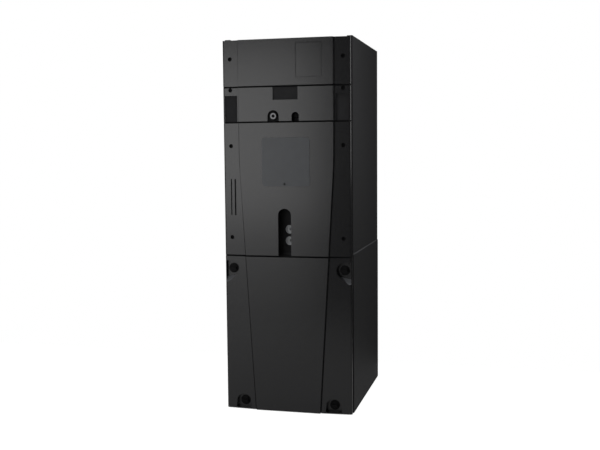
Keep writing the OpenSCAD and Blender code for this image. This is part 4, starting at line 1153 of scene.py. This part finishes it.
def make_board():
    """The control board with its relays, terminal strip, fuse and capacitors."""
    low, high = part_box("control_board")
    front = high.y - BOARD_INSET
    back = front + BOARD_THICKNESS
    middle = (low.z + high.z) / 2
    build = Build()

    def box(x, z, size, finish, edge):
        build.block((x, front - size[1], z), (x + size[0], front, z + size[2]), finish, edge * MM)

    build.block((low.x, front, low.z), (high.x, back, high.z), "board_mask", 0.2 * MM)
    for x in (low.x + BOARD_HOLE, high.x - BOARD_HOLE):
        for z in (low.z + BOARD_HOLE, high.z - BOARD_HOLE):
            build.turned(STANDOFF, (x, back, z), "bright_steel", steps=12)
            build.turned(BOARD_SCREW, (x, front, z), "bright_steel", steps=16)
    for start in RELAY_STARTS:
        box(low.x + start, low.z + RELAY_RISE, RELAY, "relay_plastic", 0.6)
        for pin in PIN_STARTS:
            spot = (low.x + start + pin, front, low.z + PIN_RISE)
            build.turned(SOLDER_PIN, spot, "bright_steel", steps=10)
    start, width, z = low.x + STRIP_INSET, high.x - low.x - 2 * STRIP_INSET, high.z - STRIP_DROP
    box(start, z - STRIP[2] / 2, (width, *STRIP[1:]), "black_plastic", 0.5)
    for i in range(TERMINALS):
        spot = (start + (i + 0.5) * width / TERMINALS, front - STRIP[1], z)
        build.turned(TERMINAL_SCREW, spot, "bright_steel", steps=16)
    for start in CAPACITOR_STARTS:
        build.turned(CAPACITOR, (low.x + start, front, middle + 2 * MM), "black_plastic", steps=20)
    box(high.x - FUSE_INSET, middle - 3 * MM, FUSE, "pale_plastic", 0.4)
    build.piece("board_built", "cabinet", replaces=["control_board"])


CORE_DEPTH = 6 * MM


def make_transformer():
    """A laminated core with its winding in the middle."""
    low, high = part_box("transformer")
    build = Build()
    middle = (low + high) / 2
    build.block((low.x, low.y + CORE_DEPTH, low.z), tuple(high), "lamination", 0.6 * MM)
    wide = (high.x - low.x) / 3
    near = (middle.x - wide, low.y, middle.z - wide)
    build.block(near, (middle.x + wide, high.y - MM, middle.z + wide), "winding", 2 * MM)
    build.piece("transformer_wound", "cabinet", replaces=["transformer"])


class HANDLER_OT_stage(bpy.types.Operator):
    """Makes the floor, the lamps, the surroundings and the camera"""

    bl_idname = "handler.stage"
    bl_label = "Stage"

    def execute(self, context):
        scene = context.scene
        settings = scene.handler_stage
        scene.view_settings.view_transform = "Standard"
        make_floor()
        make_surroundings(scene)
        for lamp in LAMPS:
            make_lamp(*lamp)
        pitch, roll, yaw = settings.camera_turn
        lens = bpy.data.cameras.new("camera")
        lens.lens = settings.lens
        camera = new_object("camera", lens)
        turn = Matrix.Rotation(yaw, 4, "Z") @ Matrix.Rotation(math.pi / 2 + pitch, 4, "X")
        turn = turn @ Matrix.Rotation(roll, 4, "Z")
        camera.matrix_world = Matrix.Translation(settings.camera_place) @ turn
        scene.camera = camera
        return {"FINISHED"}


FLOOR = ((-1.6, -2.0, 0), (1.6, -2.0, 0), (1.6, 0.5, 0), (-1.6, 0.5, 0))
FLOOR_LIFT = 0.75
FLOOR_MIRRORED = 0.15
WHITE = (1.0, 1.0, 1.0, 1.0)
ROOM_LIGHT = 0.4
ROOM_MIRRORED = 0.05
BACKGROUND_CONE = (0.9, 0.97)
LAMPS = (
    # name, place, target, width and height, brightness
    ("key", (-1.35, -2.1, 1.0), (-1.35, 0, 1.0), (2.1, 0.99), 3.94),
    ("low", (-1.35, -2.12, 0.27), (-1.35, 0, 0.27), (2.1, 0.48), 1.4),
    ("top", (0, -0.9, 2.6), (0, -0.3, 0.6), (1.4, 0.9), 1.6),
    ("side", (0.8, -0.34, 1.3), (0.22, -0.2, 1.3), (0.3, 1.0), 6.0),
)


def light_math(tree, operation, first, second):
    return add_node(tree, "ShaderNodeMath", {0: first, 1: second}, operation=operation).outputs[0]


def make_floor():
    """A sheet of white paper under the object, which shows white and keeps the shadow."""
    mesh = bpy.data.meshes.new("floor")
    mesh.from_pydata(FLOOR, [], [(0, 1, 2, 3)])
    floor = new_object("floor", mesh)
    floor.location.z = -0.5 * MM
    paper = Finish("floor_paper", (0.8, 0.8, 0.8), 0.9, specular=0.0)
    paper.inputs["Emission Color"].default_value = WHITE
    tree = paper.tree
    path = tree.nodes.new("ShaderNodeLightPath").outputs
    seen = light_math(tree, "MAXIMUM", path["Is Camera Ray"], path["Is Glossy Ray"])
    seen = light_math(tree, "MAXIMUM", seen, path["Is Transmission Ray"])
    dim = light_math(tree, "MULTIPLY", path["Is Glossy Ray"], FLOOR_MIRRORED - FLOOR_LIFT)
    glow = light_math(tree, "MULTIPLY", seen, FLOOR_LIFT)
    paper.link(light_math(tree, "ADD", glow, dim), "Emission Strength")
    floor.data.materials.append(paper.material)


def make_surroundings(scene):
    """A plain room that mirrors dimly, with a white background in the part of it that the camera looks to."""
    world = bpy.data.worlds.new("room")
    scene.world = world
    world.use_nodes = True
    tree = world.node_tree
    back = tree.nodes["Background"].inputs
    path = tree.nodes.new("ShaderNodeLightPath").outputs
    yaw = scene.handler_stage.camera_turn[2]
    way = tree.nodes.new("ShaderNodeTexCoord").outputs["Generated"]
    links = {0: way, 1: (-math.sin(yaw), math.cos(yaw), 0)}
    along = add_node(tree, "ShaderNodeVectorMath", links, operation="DOT_PRODUCT").outputs["Value"]
    edge, core = BACKGROUND_CONE
    links = {"Value": along, "From Min": edge, "From Max": core}
    behind = add_node(tree, "ShaderNodeMapRange", links).outputs["Result"]
    reflected = light_math(tree, "MAXIMUM", path["Is Glossy Ray"], path["Is Transmission Ray"])
    shown = light_math(tree, "MULTIPLY", reflected, behind)
    shown = light_math(tree, "MAXIMUM", path["Is Camera Ray"], shown)
    room = light_math(tree, "MULTIPLY", reflected, ROOM_MIRRORED - ROOM_LIGHT)
    room = light_math(tree, "ADD", room, ROOM_LIGHT)
    tree.links.new(light_math(tree, "MAXIMUM", room, shown), back["Strength"])
    back["Color"].default_value = WHITE


def make_lamp(name, place, target, size, brightness):
    """A rectangular softbox that shows as brightness in a mirror, where 1 is white."""
    data = bpy.data.lights.new(name, "AREA")
    data.shape = "RECTANGLE"
    data.size, data.size_y = size
    data.energy = brightness * math.pi * size[0] * size[1]
    lamp = new_object(name, data)
    lamp.location = place
    lamp.rotation_euler = (Vector(target) - Vector(place)).to_track_quat("-Z", "Y").to_euler()


class HANDLER_PT_pieces(bpy.types.Panel):
    """Lists the operators in the sidebar"""

    bl_label = "Air handler"
    bl_space_type = "VIEW_3D"
    bl_region_type = "UI"
    bl_category = "Air handler"

    def draw(self, context):
        for operator in OPERATORS:
            self.layout.operator(operator.bl_idname)
        for name, group in SETTINGS.items():
            box = self.layout.box()
            for key in group.__annotations__:
                box.prop(getattr(context.scene, name), key)


OPERATORS = (
    HANDLER_OT_finishes,
    HANDLER_OT_walls,
    HANDLER_OT_panels,
    HANDLER_OT_latches,
    HANDLER_OT_ports,
    HANDLER_OT_filter,
    HANDLER_OT_blower,
    HANDLER_OT_coil,
    HANDLER_OT_heater,
    HANDLER_OT_controls,
    HANDLER_OT_stage,
)


def register():
    for cls in (*SETTINGS.values(), *OPERATORS, HANDLER_PT_pieces):
        bpy.utils.register_class(cls)
    for name, group in SETTINGS.items():
        setattr(bpy.types.Scene, name, bpy.props.PointerProperty(type=group))


def unregister():
    for name in SETTINGS:
        delattr(bpy.types.Scene, name)
    for cls in (HANDLER_PT_pieces, *reversed(OPERATORS), *reversed(SETTINGS.values())):
        bpy.utils.unregister_class(cls)


def main():
    register()
    for operator in OPERATORS:
        getattr(bpy.ops.handler, operator.bl_idname.removeprefix("handler."))()


if __name__ == "__main__":
    main()
